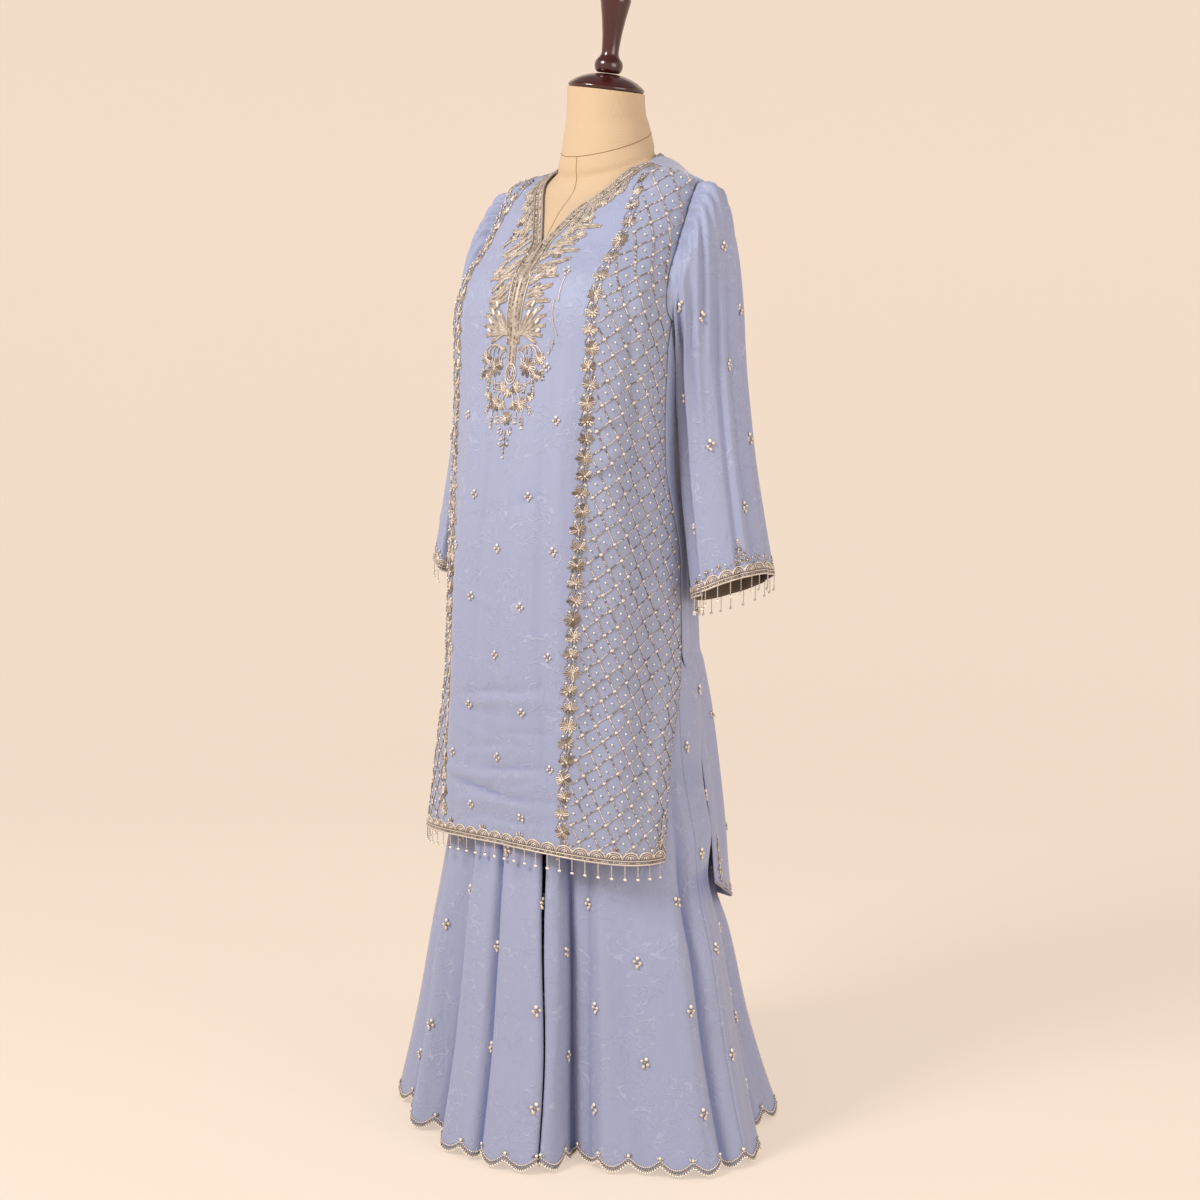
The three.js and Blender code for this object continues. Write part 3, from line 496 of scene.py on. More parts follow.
def sleeve_panel(side):
    around, at = np.meshgrid(np.linspace(-180, 180, 145), np.linspace(1, 0, 114))
    fit = (armhole(around) - sleeve_ring(around, at * 0)) * (1 - ease(at / 0.2))[..., None]
    swing = (1 - (1 - at) ** 3)
    out, back = SWING[side]
    points = sleeve_ring(around, at) + fit + vec(out * swing, back * swing, 0)
    gathers = np.zeros(around.shape)
    for direction, width, height in GATHERS:
        gathers += height * np.exp(-((around - direction * (1 + 0.25 * at)) / width) ** 2)
    gathers *= ease(at / 0.02) * np.exp(-(at / 0.2) ** 1.3)
    long = creases([(a, b, -s, -e, w, h) for a, b, s, e, w, h in SLEEVE_CREASES], around, -at)
    cross = cross_creases(SLEEVE_CROSS, around, at)
    puff = 4 * ease(at / 0.04) * np.exp(-at / 0.12) * ease((100 - np.abs(around)) / 60)
    closing = ease((180 - np.abs(around)) / 25)
    panel = Panel(points, gathers + (long + cross) * closing * ease(at / 0.08) + puff, -1)
    panel.points[:, -1] = panel.points[:, 0]
    return panel if side > 0 else panel.mirrored()


SLEEVES = {side: sleeve_panel(side) for side in (1, -1)}


def on_sleeve(side):
    """A place on a sleeve from the direction round it and the distance up from the cuff."""
    def place(around, up):
        around, up = matched(around, up)
        return SLEEVES[side].at((around + 180) % 360 / 360, up / SLEEVE_LENGTH)
    return place


# ------------------------------------------------------------------ sharara legs
# Columns: height, half width, x and y of the middle, reach in front and behind.
LEGS = curves([
    (-3, 308, 15, -21, 238, 292), (150, 270, 11, -16, 209, 236), (290, 243, 9, -12, 192, 200),
    (345, 229, 7, -11, 185, 180), (447, 208, 4, -8, 173, 157), (560, 186, 0, -5, 173, 146),
    (700, 172, 0, 0, 173, 130), (850, 164, 0, 0, 158, 112), (930, 146, 0, -5, 124, 102),
    (985, 131.7, 0, -10, 91.7, 95.7)])
# Where the legs part. Columns: height, x in front, x behind, half the gap.
PARTING = curves([
    (-3, 120, 52, 0.5), (200, 100, 50, 0.9), (447, 75, 46, 2.6), (735, 56, 42, 5), (788, 34, 26, 0.2),
    (985, 0, 0, 0.2)])
INNER_WALLS = {"front": (-64, 76), "back": (0, -30)}     # how the walls run in from where the legs part
CORNER = 9                    # their corners are rounded over this length
# Large folds: direction (0 in front, 90 at the left), and how far they go in at the hem.
FOLDS = curve(*zip(*[
    (-180, 18), (-160, 0), (-140, 30), (-120, 2), (-101, 28), (-82, 0), (-68, -8), (-55, 22),
    (-42, 4), (-27, 30), (-12, 0), (4, 4), (16, 0), (30, 18), (41, 52), (50, 30), (62, 26),
    (84, -4), (97, -4), (114, 28), (132, -4), (150, 30), (166, 4), (180, 18)]))
FOLD_START_Z = 900            # they begin here and grow down to the hem
FOLD_USUAL, FOLD_DEEP, FOLD_MOST = 30, 46, 74     # a fold of 30 goes in 46 mm, and none more than 74
FULLER, FULLER_TURN = 24, 110          # the legs stand out by this much beside the kurta's slits
FULLER_LOW_Z, FULLER_HIGH_Z, FULLER_FADE = 380, 770, 90
# Smaller folds between them: direction at the top and the hem, top, half width, height.
LEG_CREASES = [(a, b, top, -400, width, height) for a, b, top, width, height in [
    (-78, -80, 640, 3.0, 6.0), (-70, -68, 560, 2.4, -8.0), (-52, -38, 640, 2.4, -15.0),
    (-45, -32, 620, 3.0, 7.0),
    (-27, -17, 640, 2.2, -15.0), (-20, -11, 600, 3.0, 7.0), (-2, 3, 640, 2.0, -13.0), (6, 10, 560, 3.4, 4.0),
    (16, 20, 480, 4.0, -3.0), (33, 41, 640, 2.2, -14.0), (48, 50, 520, 5.0, 3.6), (56, 60, 440, 4.0, -3.6),
    (66, 70, 560, 5.0, 3.4), (76, 78, 520, 3.0, 4.0), (83, 85, 640, 2.2, -13.0), (91, 93, 600, 3.0, 5.0),
    (104, 104, 640, 2.2, -14.0), (111, 112, 620, 3.0, 8.0), (123, 124, 520, 3.0, -9.5),
    (141, 141, 560, 3.0, 9.0), (158, 158, 520, 3.0, -9.5), (172, 172, 560, 2.6, 8.5),
    (-92, -92, 560, 3.0, -9.0), (-110, -111, 620, 3.0, 9.0),
    (-130, -131, 520, 3.0, -10.0), (-150, -150, 600, 3.0, 9.0), (-170, -171, 560, 3.0, -9.0)]]


def legs_point(direction, z):
    """Places round both legs at one height, seen as one skirt."""
    half, centre_x, centre_y, front, back = (column(z) for column in LEGS)
    s, c = np.sin(np.radians(direction)), np.cos(np.radians(direction))
    radius = 1 / np.hypot(s / half, c / np.where(c > 0, front, back))
    turned = (direction + 180) % 360 - 180
    inward = FOLDS(turned)
    inward = np.where(inward > 0, FOLD_DEEP * (np.abs(inward) / FOLD_USUAL) ** 1.5, inward)
    growth = np.clip((FOLD_START_Z - z) / FOLD_START_Z, 0, 1) ** 1.3
    radius = radius - np.minimum(inward, FOLD_MOST) * growth
    radius = radius + creases(LEG_CREASES, turned, np.full(np.shape(turned), float(z)))
    beside = np.exp(-((np.abs(turned) - FULLER_TURN) / 22) ** 2)
    level = ease((z - FULLER_LOW_Z) / FULLER_FADE) * ease((FULLER_HIGH_Z - z) / FULLER_FADE)
    radius = radius + FULLER * beside * level
    return np.stack([centre_x + radius * s, centre_y - radius * c], -1)


def direction_at(x, z, in_front):
    """The direction in which the skirt's outline reaches x."""
    d = np.linspace(-60, 60, 481) if in_front else np.linspace(240, 120, 481)
    return float(np.interp(x, legs_point(d, z)[:, 0], d))


def rounded(path, reach):
    """Softens the corner at the path's second point, where an inner wall turns."""
    if reach < 1:
        return path
    wall, corner, rest = path[0], path[1], path[2:]
    wall_end = corner + unit(wall - corner) * reach
    along = int(np.argmax(np.linalg.norm(rest - corner, axis=1) > reach))
    t = np.linspace(0, 1, 9)[:, None]
    bend = (1 - t) ** 2 * wall_end + 2 * t * (1 - t) * corner + t * t * rest[along]
    return np.concatenate([[wall], bend, rest[along + 1:]])


def leg_section(side, z):
    """The front and back paths of a leg at one height, which meet at its side seam."""
    gap = float(PARTING[2](z)) * side
    front_x, back_x = float(PARTING[0](z)) + gap, float(PARTING[1](z)) + gap
    start = direction_at(front_x, z, True)
    end = direction_at(back_x, z, False)
    end = end if side > 0 else end - 360
    outside = {"front": legs_point(np.linspace(start, 90 * side, 260), z),
               "back": legs_point(np.linspace(end, 90 * side, 260), z)}
    sunk = float(ease((RISE_TOP_Z - z) / (RISE_TOP_Z - CROTCH_Z)))
    meeting = np.array([(front_x + back_x) / 2, float(LEGS[2](z))])
    paths = []
    for name, part in outside.items():
        deep = part[0] + sunk * np.array(INNER_WALLS[name])
        wall = lerp(part[0], meeting, sunk)
        path = rounded(np.concatenate([[deep], part]), CORNER * sunk)
        paths.append(np.concatenate([[wall], path]))
    return paths[0], paths[1][::-1]


def evenly(path, count):
    """Points at equal distances along a flat path, and its length."""
    along = distances(path)
    goal = np.linspace(0, along[-1], count)
    return np.stack([np.interp(goal, along, path[:, k]) for k in range(2)], -1), along[-1]


EDGE_TOP_Z, EDGE_ROWS = 110, 15        # the rows below this follow the scalloped edge
LEG_LEVELS = np.concatenate([np.linspace(18, EDGE_TOP_Z, EDGE_ROWS), np.linspace(120, CROTCH_Z, 62),
                             np.linspace(742, RISE_TOP_Z, 7), np.linspace(800, WAIST_Z, 14)])
LEG_COLUMNS = 152


def leg_edge(s, total, count, hem):
    """Height of the scalloped edge; it lies higher where it hangs over the base."""
    rise = SCALLOP[1] * (1 - np.abs(np.sin(np.pi * count * s / total)))
    over = BASE_LIFT * (1 - ease((np.hypot(hem[:, 0], hem[:, 1]) - BASE_RADIUS - 4) / 30))
    return LEG_LOW_Z + rise + over


Leg = namedtuple("Leg", "panels lengths total scallops edge")


def leg(side):
    """Both panels of a leg, their hem lengths, the scallops' number and the line of the edge."""
    rows = {"front": [], "back": []}
    lengths = {}
    for z in LEG_LEVELS:
        for name, path in zip(rows, leg_section(side, z)):
            points, length = evenly(path, LEG_COLUMNS)
            lengths.setdefault(name, length)
            shift = -SEAM / 4 if name == "front" else SEAM / 4
            rows[name].append(vec(points[:, 0], points[:, 1] + shift, z))
    total = lengths["front"] + lengths["back"]
    count = round(total / SCALLOP[0])
    panels, edge = {}, []
    for name, start in (("front", 0), ("back", lengths["front"])):
        grid = np.array(rows[name])
        s = start + np.linspace(0, lengths[name], LEG_COLUMNS)
        low = leg_edge(s, total, count, grid[0])
        run = (LEG_LEVELS[:, None] - LEG_LEVELS[0]) / (EDGE_TOP_Z - LEG_LEVELS[0])
        grid[..., 2] = np.where(run < 1, lerp(low, EDGE_TOP_Z, run), grid[..., 2])
        flare = (grid[:1, :, :2] - grid[EDGE_ROWS - 1:EDGE_ROWS, :, :2]) * 0.1
        grid[..., :2] += flare * (np.clip(1 - run, 0, 1) ** 1.5)[..., None]
        panels[name] = Panel(grid, outward=side)
        edge += list(zip(s, low))
    return Leg(panels, lengths, total, count, np.array(edge))


LEG = {side: leg(side) for side in (1, -1)}


def on_leg(side):
    """A place on a leg from the distance round its hem, from the inner wall in front, and height."""
    panels, lengths = LEG[side].panels, LEG[side].lengths

    def place(s, z):
        s, z = matched(s, z)
        s = s % LEG[side].total
        low = np.interp(s, *LEG[side].edge.T)
        bottom = LEG_LEVELS[0] + (EDGE_TOP_Z - LEG_LEVELS[0]) * (z - low) / (EDGE_TOP_Z - low)
        level = np.where(z < EDGE_TOP_Z, bottom, z)
        v = share_of(level, LEG_LEVELS)
        front = panels["front"].at(s / lengths["front"], v)
        back = panels["back"].at((s - lengths["front"]) / lengths["back"], v)
        return chosen(s > lengths["front"], back, front)
    return place


# ------------------------------------------------------------------ dress form
# Columns: height, half width, y of the side, y of the middle in front and behind.
FORM = curves([
    (800, 146, 0, -108, 96), (850, 152, 0, -112, 100), (920, 142, -5, -106, 95),
    (985, 129.5, -10, -100, 84), (1012, 126, -12, -97, 82), (1070, 127, -18, -100, 86),
    (1130, 148, -20, -114, 100), (1195, 176, -14, -132, 118)])
FORM_BOTTOM_Z, NECK_SEAM_Z, NECK_TOP_Z, NECK_LEAN = 800, 1452, 1528, 8.3
NECK_SIZE = curve([0, 0.2, 0.55, 1], [1, 0.96, 0.88, 0.86])
ROUND = np.linspace(-180, 180, 145)    # 0 in front, 90 at the left side


def torso_ring(z):
    """The form's own section up to the underarm, and then the kurta's."""
    turn = np.where(np.abs(ROUND) <= 90, ROUND, np.sign(ROUND) * 180 - ROUND)
    front = np.abs(ROUND) <= 90
    half, side, middle_front, middle_back = (column(min(z, UNDERARM_Z)) for column in FORM)
    across = np.sin(np.radians(turn))
    middle = np.where(front, middle_front, middle_back)
    y = side + (middle - side) * np.sqrt(np.clip(1 - across ** 2, 0, 1))
    plain = vec(half * across, y, z)
    if z <= UNDERARM_Z:
        return plain
    lying = np.where(front[:, None], on_section(FRONT, turn, z), on_section(BACK, turn, z))
    return lerp(plain, lying, ease((z - UNDERARM_Z) / 40))


def torso_rings():
    """The torso, which lies inside the kurta up to its neck edge and stands clear between its seams."""
    levels = np.concatenate([rows_up_to(FORM_BOTTOM_Z, 70, NECK_POINT[1], 30),
                             np.linspace(NECK_POINT[1] + 4, NECK_SEAM_Z, 8)])
    rings = np.array([torso_ring(z) for z in levels])
    wide = np.concatenate([rings[:, -2:-1], rings, rings[:, 1:2]], axis=1)
    outward = grid_normals(wide)[:, 1:-1]
    turn = np.radians(ROUND)
    clear = np.abs(np.cos(turn)) ** 0.7 + np.abs(np.sin(2 * turn)) ** 0.6
    z = levels[:, None]
    inset = CLOTH + SEAM + lerp(5, 1.6, ease((z - 1240) / 90)) * clear
    inset = inset * ease((z - UNDERARM_Z) / 40) * (1 - ease((z - NECK_POINT[1]) / 10))
    return rings - outward * inset[..., None]


TORSO = torso_rings()


def neck_rings():
    """The neck, from the torso's top ring to an end that leans with the cap."""
    rings = []
    for up in np.linspace(0, 1, 26):
        size = NECK_SIZE(up)
        x, y = TORSO[-1, :, 0] * size, NECK_Y + (TORSO[-1, :, 1] - NECK_Y) * size
        top = NECK_TOP_Z - x * math.tan(math.radians(NECK_LEAN))
        rings.append(vec(x, y, lerp(TORSO[-1, :, 2] + SEAM, top, up)))
    return np.array(rings)


NECK = neck_rings()

# Radius and height of the turned pieces above the neck.
CAP = [(0, 0), (54, 0), (56, 1.5), (56.3, 3.2), (56, 5), (53.5, 7.5), (50, 10), (46, 13), (40, 16),
       (34, 18.5), (28, 20.4), (22, 22), (10, 23.2), (0, 23.5)]
FINIAL = [(0, 24), (15, 24), (17.6, 25.2), (19, 27), (20.2, 29.5), (20.7, 32), (21, 35), (20.5, 38),
          (19.6, 40.6), (18, 43), (15.6, 45.6), (13.6, 49), (12.6, 53), (12.9, 60), (14, 75), (15.7, 88),
          (17.5, 100), (19.6, 111), (21.5, 121), (22.4, 125), (22.5, 128), (21.9, 130.6),
          (20.5, 132.5), (17.5, 134.6), (13, 136), (7, 137.1), (0, 137.5)]


# ------------------------------------------------------------------ meshes
def real(points):
    """From local millimetres to metres in the shared frame."""
    return (np.asarray(points) + [0, 0, DATUM]) * 0.001


def build(name, points, faces, finish, tint=None):
    """An object from points in metres and rows of faces, with an optional value at each point."""
    mesh = bpy.data.meshes.new(name)
    faces = np.asarray(faces)
    corners = faces.shape[1]
    mesh.vertices.add(len(points))
    mesh.vertices.foreach_set("co", np.asarray(points, np.float32).ravel())
    mesh.loops.add(faces.size)
    mesh.loops.foreach_set("vertex_index", faces.ravel().astype(np.int32))
    mesh.polygons.add(len(faces))
    mesh.polygons.foreach_set("loop_start", np.arange(0, faces.size, corners, dtype=np.int32))
    mesh.update(calc_edges=True)
    mesh.polygons.foreach_set("use_smooth", np.full(len(faces), True))
    if tint is not None:
        mesh.attributes.new("tint", "FLOAT", "POINT").data.foreach_set("value", tint.astype(np.float32))
    mesh.materials.append(finish)
    mesh.validate()
    obj = bpy.data.objects.new(name, mesh)
    bpy.context.scene.collection.objects.link(obj)
    return obj


def grid_faces(rows, columns):
    index = np.arange(rows * columns).reshape(rows, columns)
    return np.stack([index[:-1, :-1], index[:-1, 1:], index[1:, 1:], index[1:, :-1]], -1).reshape(-1, 4)


def sound(faces):
    """The faces whose neighbouring corners all differ."""
    return faces[np.all(faces != np.roll(faces, 1, axis=1), axis=1)]


def welded(panels):
    """Panels joined where they meet: points, normals, outward faces and which points were kept."""
    points, outs, faces, start = [], [], [], 0
    for panel in panels:
        quads = grid_faces(*panel.points.shape[:2])
        flat = panel.points.reshape(-1, 3)
        facing = np.cross(flat[quads[:, 1]] - flat[quads[:, 0]], flat[quads[:, 3]] - flat[quads[:, 0]])
        out = panel.normals.reshape(-1, 3)
        if np.sum(facing * out[quads[:, 0]]) < 0:
            quads = quads[:, ::-1]
        points.append(flat)
        outs.append(out)
        faces.append(quads + start)
        start += len(flat)
    points, outs, faces = (np.concatenate(part) for part in (points, outs, faces))
    _, first, index = np.unique(np.round(points, 2), axis=0, return_index=True, return_inverse=True)
    index = index.ravel()
    summed = np.zeros((len(first), 3))
    np.add.at(summed, index, outs)
    return points[first], unit(summed), sound(index[faces]), first


# Painted shade on the inner face of the cloth: it is painted darker, as if it lay in a trough.
INSIDE_PAINTED_SHADE = 0.35            # how far the inner face of the cloth is shaded like a trough


def shell(name, panels, finish, thickness=CLOTH):
    """A thin shell: the panels' outer face, an inner face, and a rim round the open edges."""
    points, outs, faces, kept = welded(panels)
    # Painted shade: each point of the outer face carries how deep it lies in a trough, and the cloth's
    # material paints it darker there.
    painted_trough_shade = np.concatenate([p.painted_trough_shade().ravel() for p in panels])[kept]
    count = len(points)
    starts, ends = faces.ravel(), np.roll(faces, -1, axis=1).ravel()
    there, back = starts * count + ends, ends * count + starts
    edge = ~np.isin(there, back)
    a, b = starts[edge], ends[edge]
    rim = np.stack([b, a, a + count, b + count], -1)
    everything = np.concatenate([faces, faces[:, ::-1] + count, rim])
    both = np.concatenate([points, points - outs * thickness])
    # The inner face carries a fixed painted shade.
    tint = np.concatenate([painted_trough_shade, painted_trough_shade * 0 + INSIDE_PAINTED_SHADE])
    return build(name, real(both), everything, finish, tint)


def solid(name, rings, finish, place=real):
    """A closed body from rings that go anticlockwise from below to above, with flat ends."""
    rows, columns = rings.shape[:2]
    flat = np.concatenate([rings.reshape(-1, 3), [rings[0].mean(0), rings[-1].mean(0)]])
    low, high = rows * columns, rows * columns + 1
    i = np.arange(columns - 1)
    top = i + (rows - 1) * columns
    quads = grid_faces(rows, columns)
    faces = np.concatenate([
        quads[:, [0, 1, 2]], quads[:, [0, 2, 3]],
        np.stack([i + 1, i, i * 0 + low], -1), np.stack([top, top + 1, i * 0 + high], -1)])
    _, first, index = np.unique(np.round(flat, 3), axis=0, return_index=True, return_inverse=True)
    obj = build(name, place(flat[first]), sound(index.ravel()[faces]), finish)
    obj.data.set_sharp_from_angle(angle=0.7)
    return obj


def turned(name, profile, finish):
    """A piece turned on the neck's leaning axis."""
    angle = np.linspace(0, 2 * math.pi, 97)
    rings = np.array([vec(r * np.cos(angle), r * np.sin(angle), z) for r, z in profile])
    lean = np.array(Matrix.Rotation(math.radians(NECK_LEAN), 3, "Y"))

    def placed(points):
        return real(points @ lean.T + [0, NECK_Y, NECK_TOP_Z + SEAM])
    return solid(name, rings, finish, placed)


# ------------------------------------------------------------------ beadwork tools
def spindle(ring):
    """A long bead: two tips and, between them, rings of four at +-ring (one ring if 0)."""
    stations = [0] if ring == 0 else [-ring, ring]
    corners = [(0, 0.5, 0), (0, 0, 0.5), (0, -0.5, 0), (0, 0, -0.5)]
    points = [(-0.5, 0, 0)] + [(x, y, z) for x in stations for _, y, z in corners] + [(0.5, 0, 0)]
    faces, last = [], len(points) - 1
    for k in range(4):
        n = (k + 1) % 4
        faces.append((0, 1 + n, 1 + k))
        if ring:
            faces += [(1 + k, 1 + n, 5 + n), (1 + k, 5 + n, 5 + k)]
        faces.append((last, last - 4 + k, last - 4 + n))
    return np.array(points), np.array(faces)


def ball():
    """A bead of twenty faces."""
    g = (1 + 5 ** 0.5) / 2
    points = [(a, b * g, 0) for a in (-1, 1) for b in (-1, 1)]
    points += [(0, a, b * g) for a in (-1, 1) for b in (-1, 1)]
    points += [(b * g, 0, a) for a in (-1, 1) for b in (-1, 1)]
    points = np.array(points) / (2 * math.hypot(1, g))
    faces = []
    for i in range(12):
        for j in range(i + 1, 12):
            for k in range(j + 1, 12):
                a, b, c = points[[i, j, k]]
                sides = [np.linalg.norm(a - b), np.linalg.norm(b - c), np.linalg.norm(c - a)]
                if max(sides) < 0.6:
                    faces.append((i, j, k) if np.dot(np.cross(b - a, c - a), a) > 0 else (i, k, j))
    return points, np.array(faces)


SEED = spindle(0)             # a small bead
GRAIN = spindle(0.26)         # a rice-shaped bead
BALL = ball()


def spaced(path, pitch):
    """Points at even distances along a flat path, with the direction there."""
    path = np.array(path, float)
    along = distances(path)
    goal = np.linspace(0, along[-1], max(2, int(round(along[-1] / pitch)) + 1))
    points = np.stack([np.interp(goal, along, path[:, k]) for k in range(2)], -1)
    step = np.gradient(points, axis=0)
    return points, np.arctan2(step[:, 1], step[:, 0])


def sweep(start, heading, length, curl, count=14):
    """A flat path that sets out at heading degrees and turns by curl degrees along its length."""
    turns = np.radians(heading + curl * (np.arange(count) + 0.5) / count)
    steps = np.stack([np.cos(turns), np.sin(turns)], -1) * length / count
    return np.concatenate([[start], start + np.cumsum(steps, axis=0)])


def laid(place, path, pitch):
    """Places and normals at even distances on a surface along a flat path, and the way ahead."""
    path = np.array(path, float)
    flat = distances(path)
    fine = np.linspace(0, flat[-1], max(8, int(flat[-1] / 1.5)))
    at = place(*(np.interp(fine, flat, path[:, k]) for k in range(2)))[0]
    along = distances(at)
    goal = np.interp(np.linspace(0, along[-1], max(3, int(round(along[-1] / pitch)) + 1)), along, fine)
    at, normal = place(*(np.interp(goal, flat, path[:, k]) for k in range(2)))[:2]
    ahead = unit(np.gradient(at, axis=0))
    return at, normal, ahead, unit(np.cross(normal, ahead))


def tube(at, normal, aside, width, lift):
    """Corners of a four-sided cord round a line, four for each place."""
    ring = [aside * width / 2, normal * width / 2, -aside * width / 2, -normal * width / 2]
    return np.stack([at + normal * lift + r for r in ring], -2)


def tube_faces(count, closed=False):
    faces = []
    for i in range(count if closed else count - 1):
        for k in range(4):
            n, j = (k + 1) % 4, (i + 1) % count
            a, b, c, d = 4 * i + k, 4 * i + n, 4 * j + n, 4 * j + k
            faces += [(a, b, c), (a, c, d)]
    if not closed:
        i = 4 * count - 4
        faces += [(0, 2, 1), (0, 3, 2), (i, i + 1, i + 2), (i, i + 2, i + 3)]
    return np.array(faces)


class Work:
    """Beads and cords, gathered to be joined in one mesh."""

    def __init__(self):
        self.points, self.faces, self.tints, self.count = [], [], [], 0

    def add(self, points, faces, tint):
        """Copies of one shape: points (copies, corners, 3), its faces, and a tint or, if none, any."""
        copies, corners = points.shape[:2]
        tints = rng.random(copies) if tint is None else np.broadcast_to(tint, copies)
        start = self.count + corners * np.arange(copies)[:, None, None]
        self.points.append(points.reshape(-1, 3))
        self.faces.append((faces[None] + start).reshape(-1, 3))
        self.tints.append(np.repeat(tints, corners))
        self.count += copies * corners

    def stamp(self, shape, place, a, b, size, turn=0.0, lift=None, tint=None):
        """Copies of a shape on a surface, turned from across towards up. Size is long, wide, high."""
        a, b, turn = (np.atleast_1d(v).astype(float) for v in np.broadcast_arrays(a, b, turn))
        at, normal, across, up = place(a, b)
        self.set(shape, at, normal, across, up, size, turn, lift, tint)

    def set(self, shape, at, normal, across, up, size, turn, lift, tint):
        """Copies of a shape at places with their frames; with no tint each one's is drawn."""
        corners, faces = shape
        c, s = np.cos(turn)[:, None], np.sin(turn)[:, None]
        vary = 1 + 0.12 * (rng.random((len(at), 1)) - 0.5)
        axes = [(across * c + up * s) * vary, (up * c - across * s) * vary, normal]
        lift = size[2] * 0.42 if lift is None else lift
        points = (at + normal * lift)[:, None, :]
        for k, axis in enumerate(axes):
            stretch = np.reshape(size[k], (-1, 1, 1)) * axis[:, None, :]
            points = points + corners[None, :, k, None] * stretch
        self.add(points, faces, tint)

    def run(self, place, path, pitch, size, shape=SEED, lean=0.0, tint=None):
        """A line of beads along a flat path, each turned from it by lean radians."""
        at, normal, ahead, aside = laid(place, path, pitch)
        self.set(shape, at, normal, ahead, aside, size, np.full(len(at), lean), None, tint)

    def cord(self, place, path, width, pitch, lift, tint):
        """A cord along a flat path, lying on the surface."""
        at, normal, _, aside = laid(place, path, pitch)
        self.line(at, normal, aside, width, lift, tint)

    def line(self, at, normal, aside, width, lift, tint):
        """A cord through places in their order."""
        self.add(tube(at, normal, aside, width, lift).reshape(1, -1, 3), tube_faces(len(at)), tint)

    def loops(self, place, a, b, turn, length, width):
        """Drop-shaped loops of cord that set out from places."""
        a, b, turn, length, width = (np.atleast_1d(v).astype(float)[:, None] for v in
                                     np.broadcast_arrays(a, b, turn, length, width))
        round_ = 2 * math.pi * (np.arange(10) + 0.5)[None] / 10
        along = (0.5 - 0.5 * np.cos(round_)) * length
        across = np.sin(round_) * (0.62 - 0.38 * np.cos(round_)) * width / 2
        c, s = np.cos(turn), np.sin(turn)
        at, normal = place((a + c * along - s * across).ravel(), (b + s * along + c * across).ravel())[:2]
        at, normal = at.reshape(-1, 10, 3), normal.reshape(-1, 10, 3)
        aside = unit(np.cross(normal, unit(np.roll(at, -1, 1) - np.roll(at, 1, 1))))
        points = tube(at, normal, aside, 1.9, 0.7).reshape(len(at), -1, 3)
        self.add(points, tube_faces(10, closed=True), None)

    def make(self, name, finish):
        points, faces, tints = (np.concatenate(part) for part in (self.points, self.faces, self.tints))
        return build(name, real(points), faces, finish, tints)


def flower(work, place, a, b, radius, phase):
    """A flower of five long petals round a raised bead."""
    for k in range(5):
        turn = phase + 2 * math.pi * k / 5
        work.stamp(GRAIN, place, a + np.cos(turn) * radius * 0.58, b + np.sin(turn) * radius * 0.58,
                   (radius * 0.84, radius * 0.36, 0.24 * radius + 0.6), turn)
    work.stamp(BALL, place, a, b, (2.6, 2.6, 2.6), tint=0.95)


def bloom(work, place, a, b, radius, petals, phase, reach=2 * math.pi):
    """A flower, or a fan over a smaller reach, of looped petals round a raised bead."""
    a, b, radius, phase = (np.atleast_1d(v).astype(float) for v in np.broadcast_arrays(a, b, radius, phase))
    for k in range(petals):
        turn = phase + reach * (k + 0.5) / petals
        root = 0.16 * radius
        work.loops(place, a + np.cos(turn) * root, b + np.sin(turn) * root, turn, radius * 0.84,
                   radius * 2.4 / petals * reach / (2 * math.pi) * 1.45)
        work.stamp(GRAIN, place, a + np.cos(turn) * radius * 0.6, b + np.sin(turn) * radius * 0.6,
                   (radius * 0.5, 1.4, 1.3), turn, tint=0.2)
    work.stamp(BALL, place, a, b, (4.0, 4.0, 3.4), tint=0.95)


def plume(work, place, start, heading, length, curl, width):
    """A leaf of thin strokes that lean forward from a stem."""
    path = sweep(np.array(start, float), heading, length, curl)
    work.cord(place, path, 1.7, 4.0, 0.8, 0.4)
    points, turn = spaced(path, 3.4)
    share = np.linspace(0, 1, len(points))
    reach = width * (0.5 + 0.65 * np.sin(math.pi * (0.15 + 0.8 * share)))
    for side in (1, -1):
        lean = turn + side * math.radians(27)
        middle = points + np.stack([np.cos(lean), np.sin(lean)], -1) * reach[:, None] * 0.52
        tint = 0.2 + 0.6 * rng.random(len(points))
        work.stamp(GRAIN, place, middle[:, 0], middle[:, 1], (reach, 2.1, 1.9), lean, 0.8, tint)


def spray(work, place, start, heading, length, curl, leaf, pitch=5.5):
    """A stem of cord with paired leaves that lean forward and a bud at its end."""
    path = sweep(np.array(start, float), heading, length, curl)
    work.cord(place, path, 1.6, 3.5, 0.7, 0.6)
    points, turn = spaced(path, pitch)
    for side in (1, -1):
        lean = turn[1:] + side * math.radians(38)
        grow = np.linspace(1, 0.62, len(lean))
        middle = points[1:] + np.stack([np.cos(lean), np.sin(lean)], -1) * leaf * 0.55 * grow[:, None]
        work.stamp(GRAIN, place, middle[:, 0], middle[:, 1], (leaf * 0.95, leaf * 0.36, leaf * 0.3), lean)
    work.stamp(BALL, place, path[-1:, 0], path[-1:, 1], (3.0, 3.0, 2.6), tint=0.9)


def scroll(work, place, start, heading, length, curl):
    """A curling tendril of cord with a bead in its eye."""
    path = sweep(np.array(start, float), heading, length, curl, 22)
    work.cord(place, path, 2.1, 2.6, 0.8, 0.6)
    work.stamp(BALL, place, path[-1:, 0], path[-1:, 1], (3.4, 3.4, 2.8), tint=0.9)


def upright(at):
    """The frame's own axes, once for each place."""
    return [np.broadcast_to(axis, at.shape) for axis in np.eye(3)]


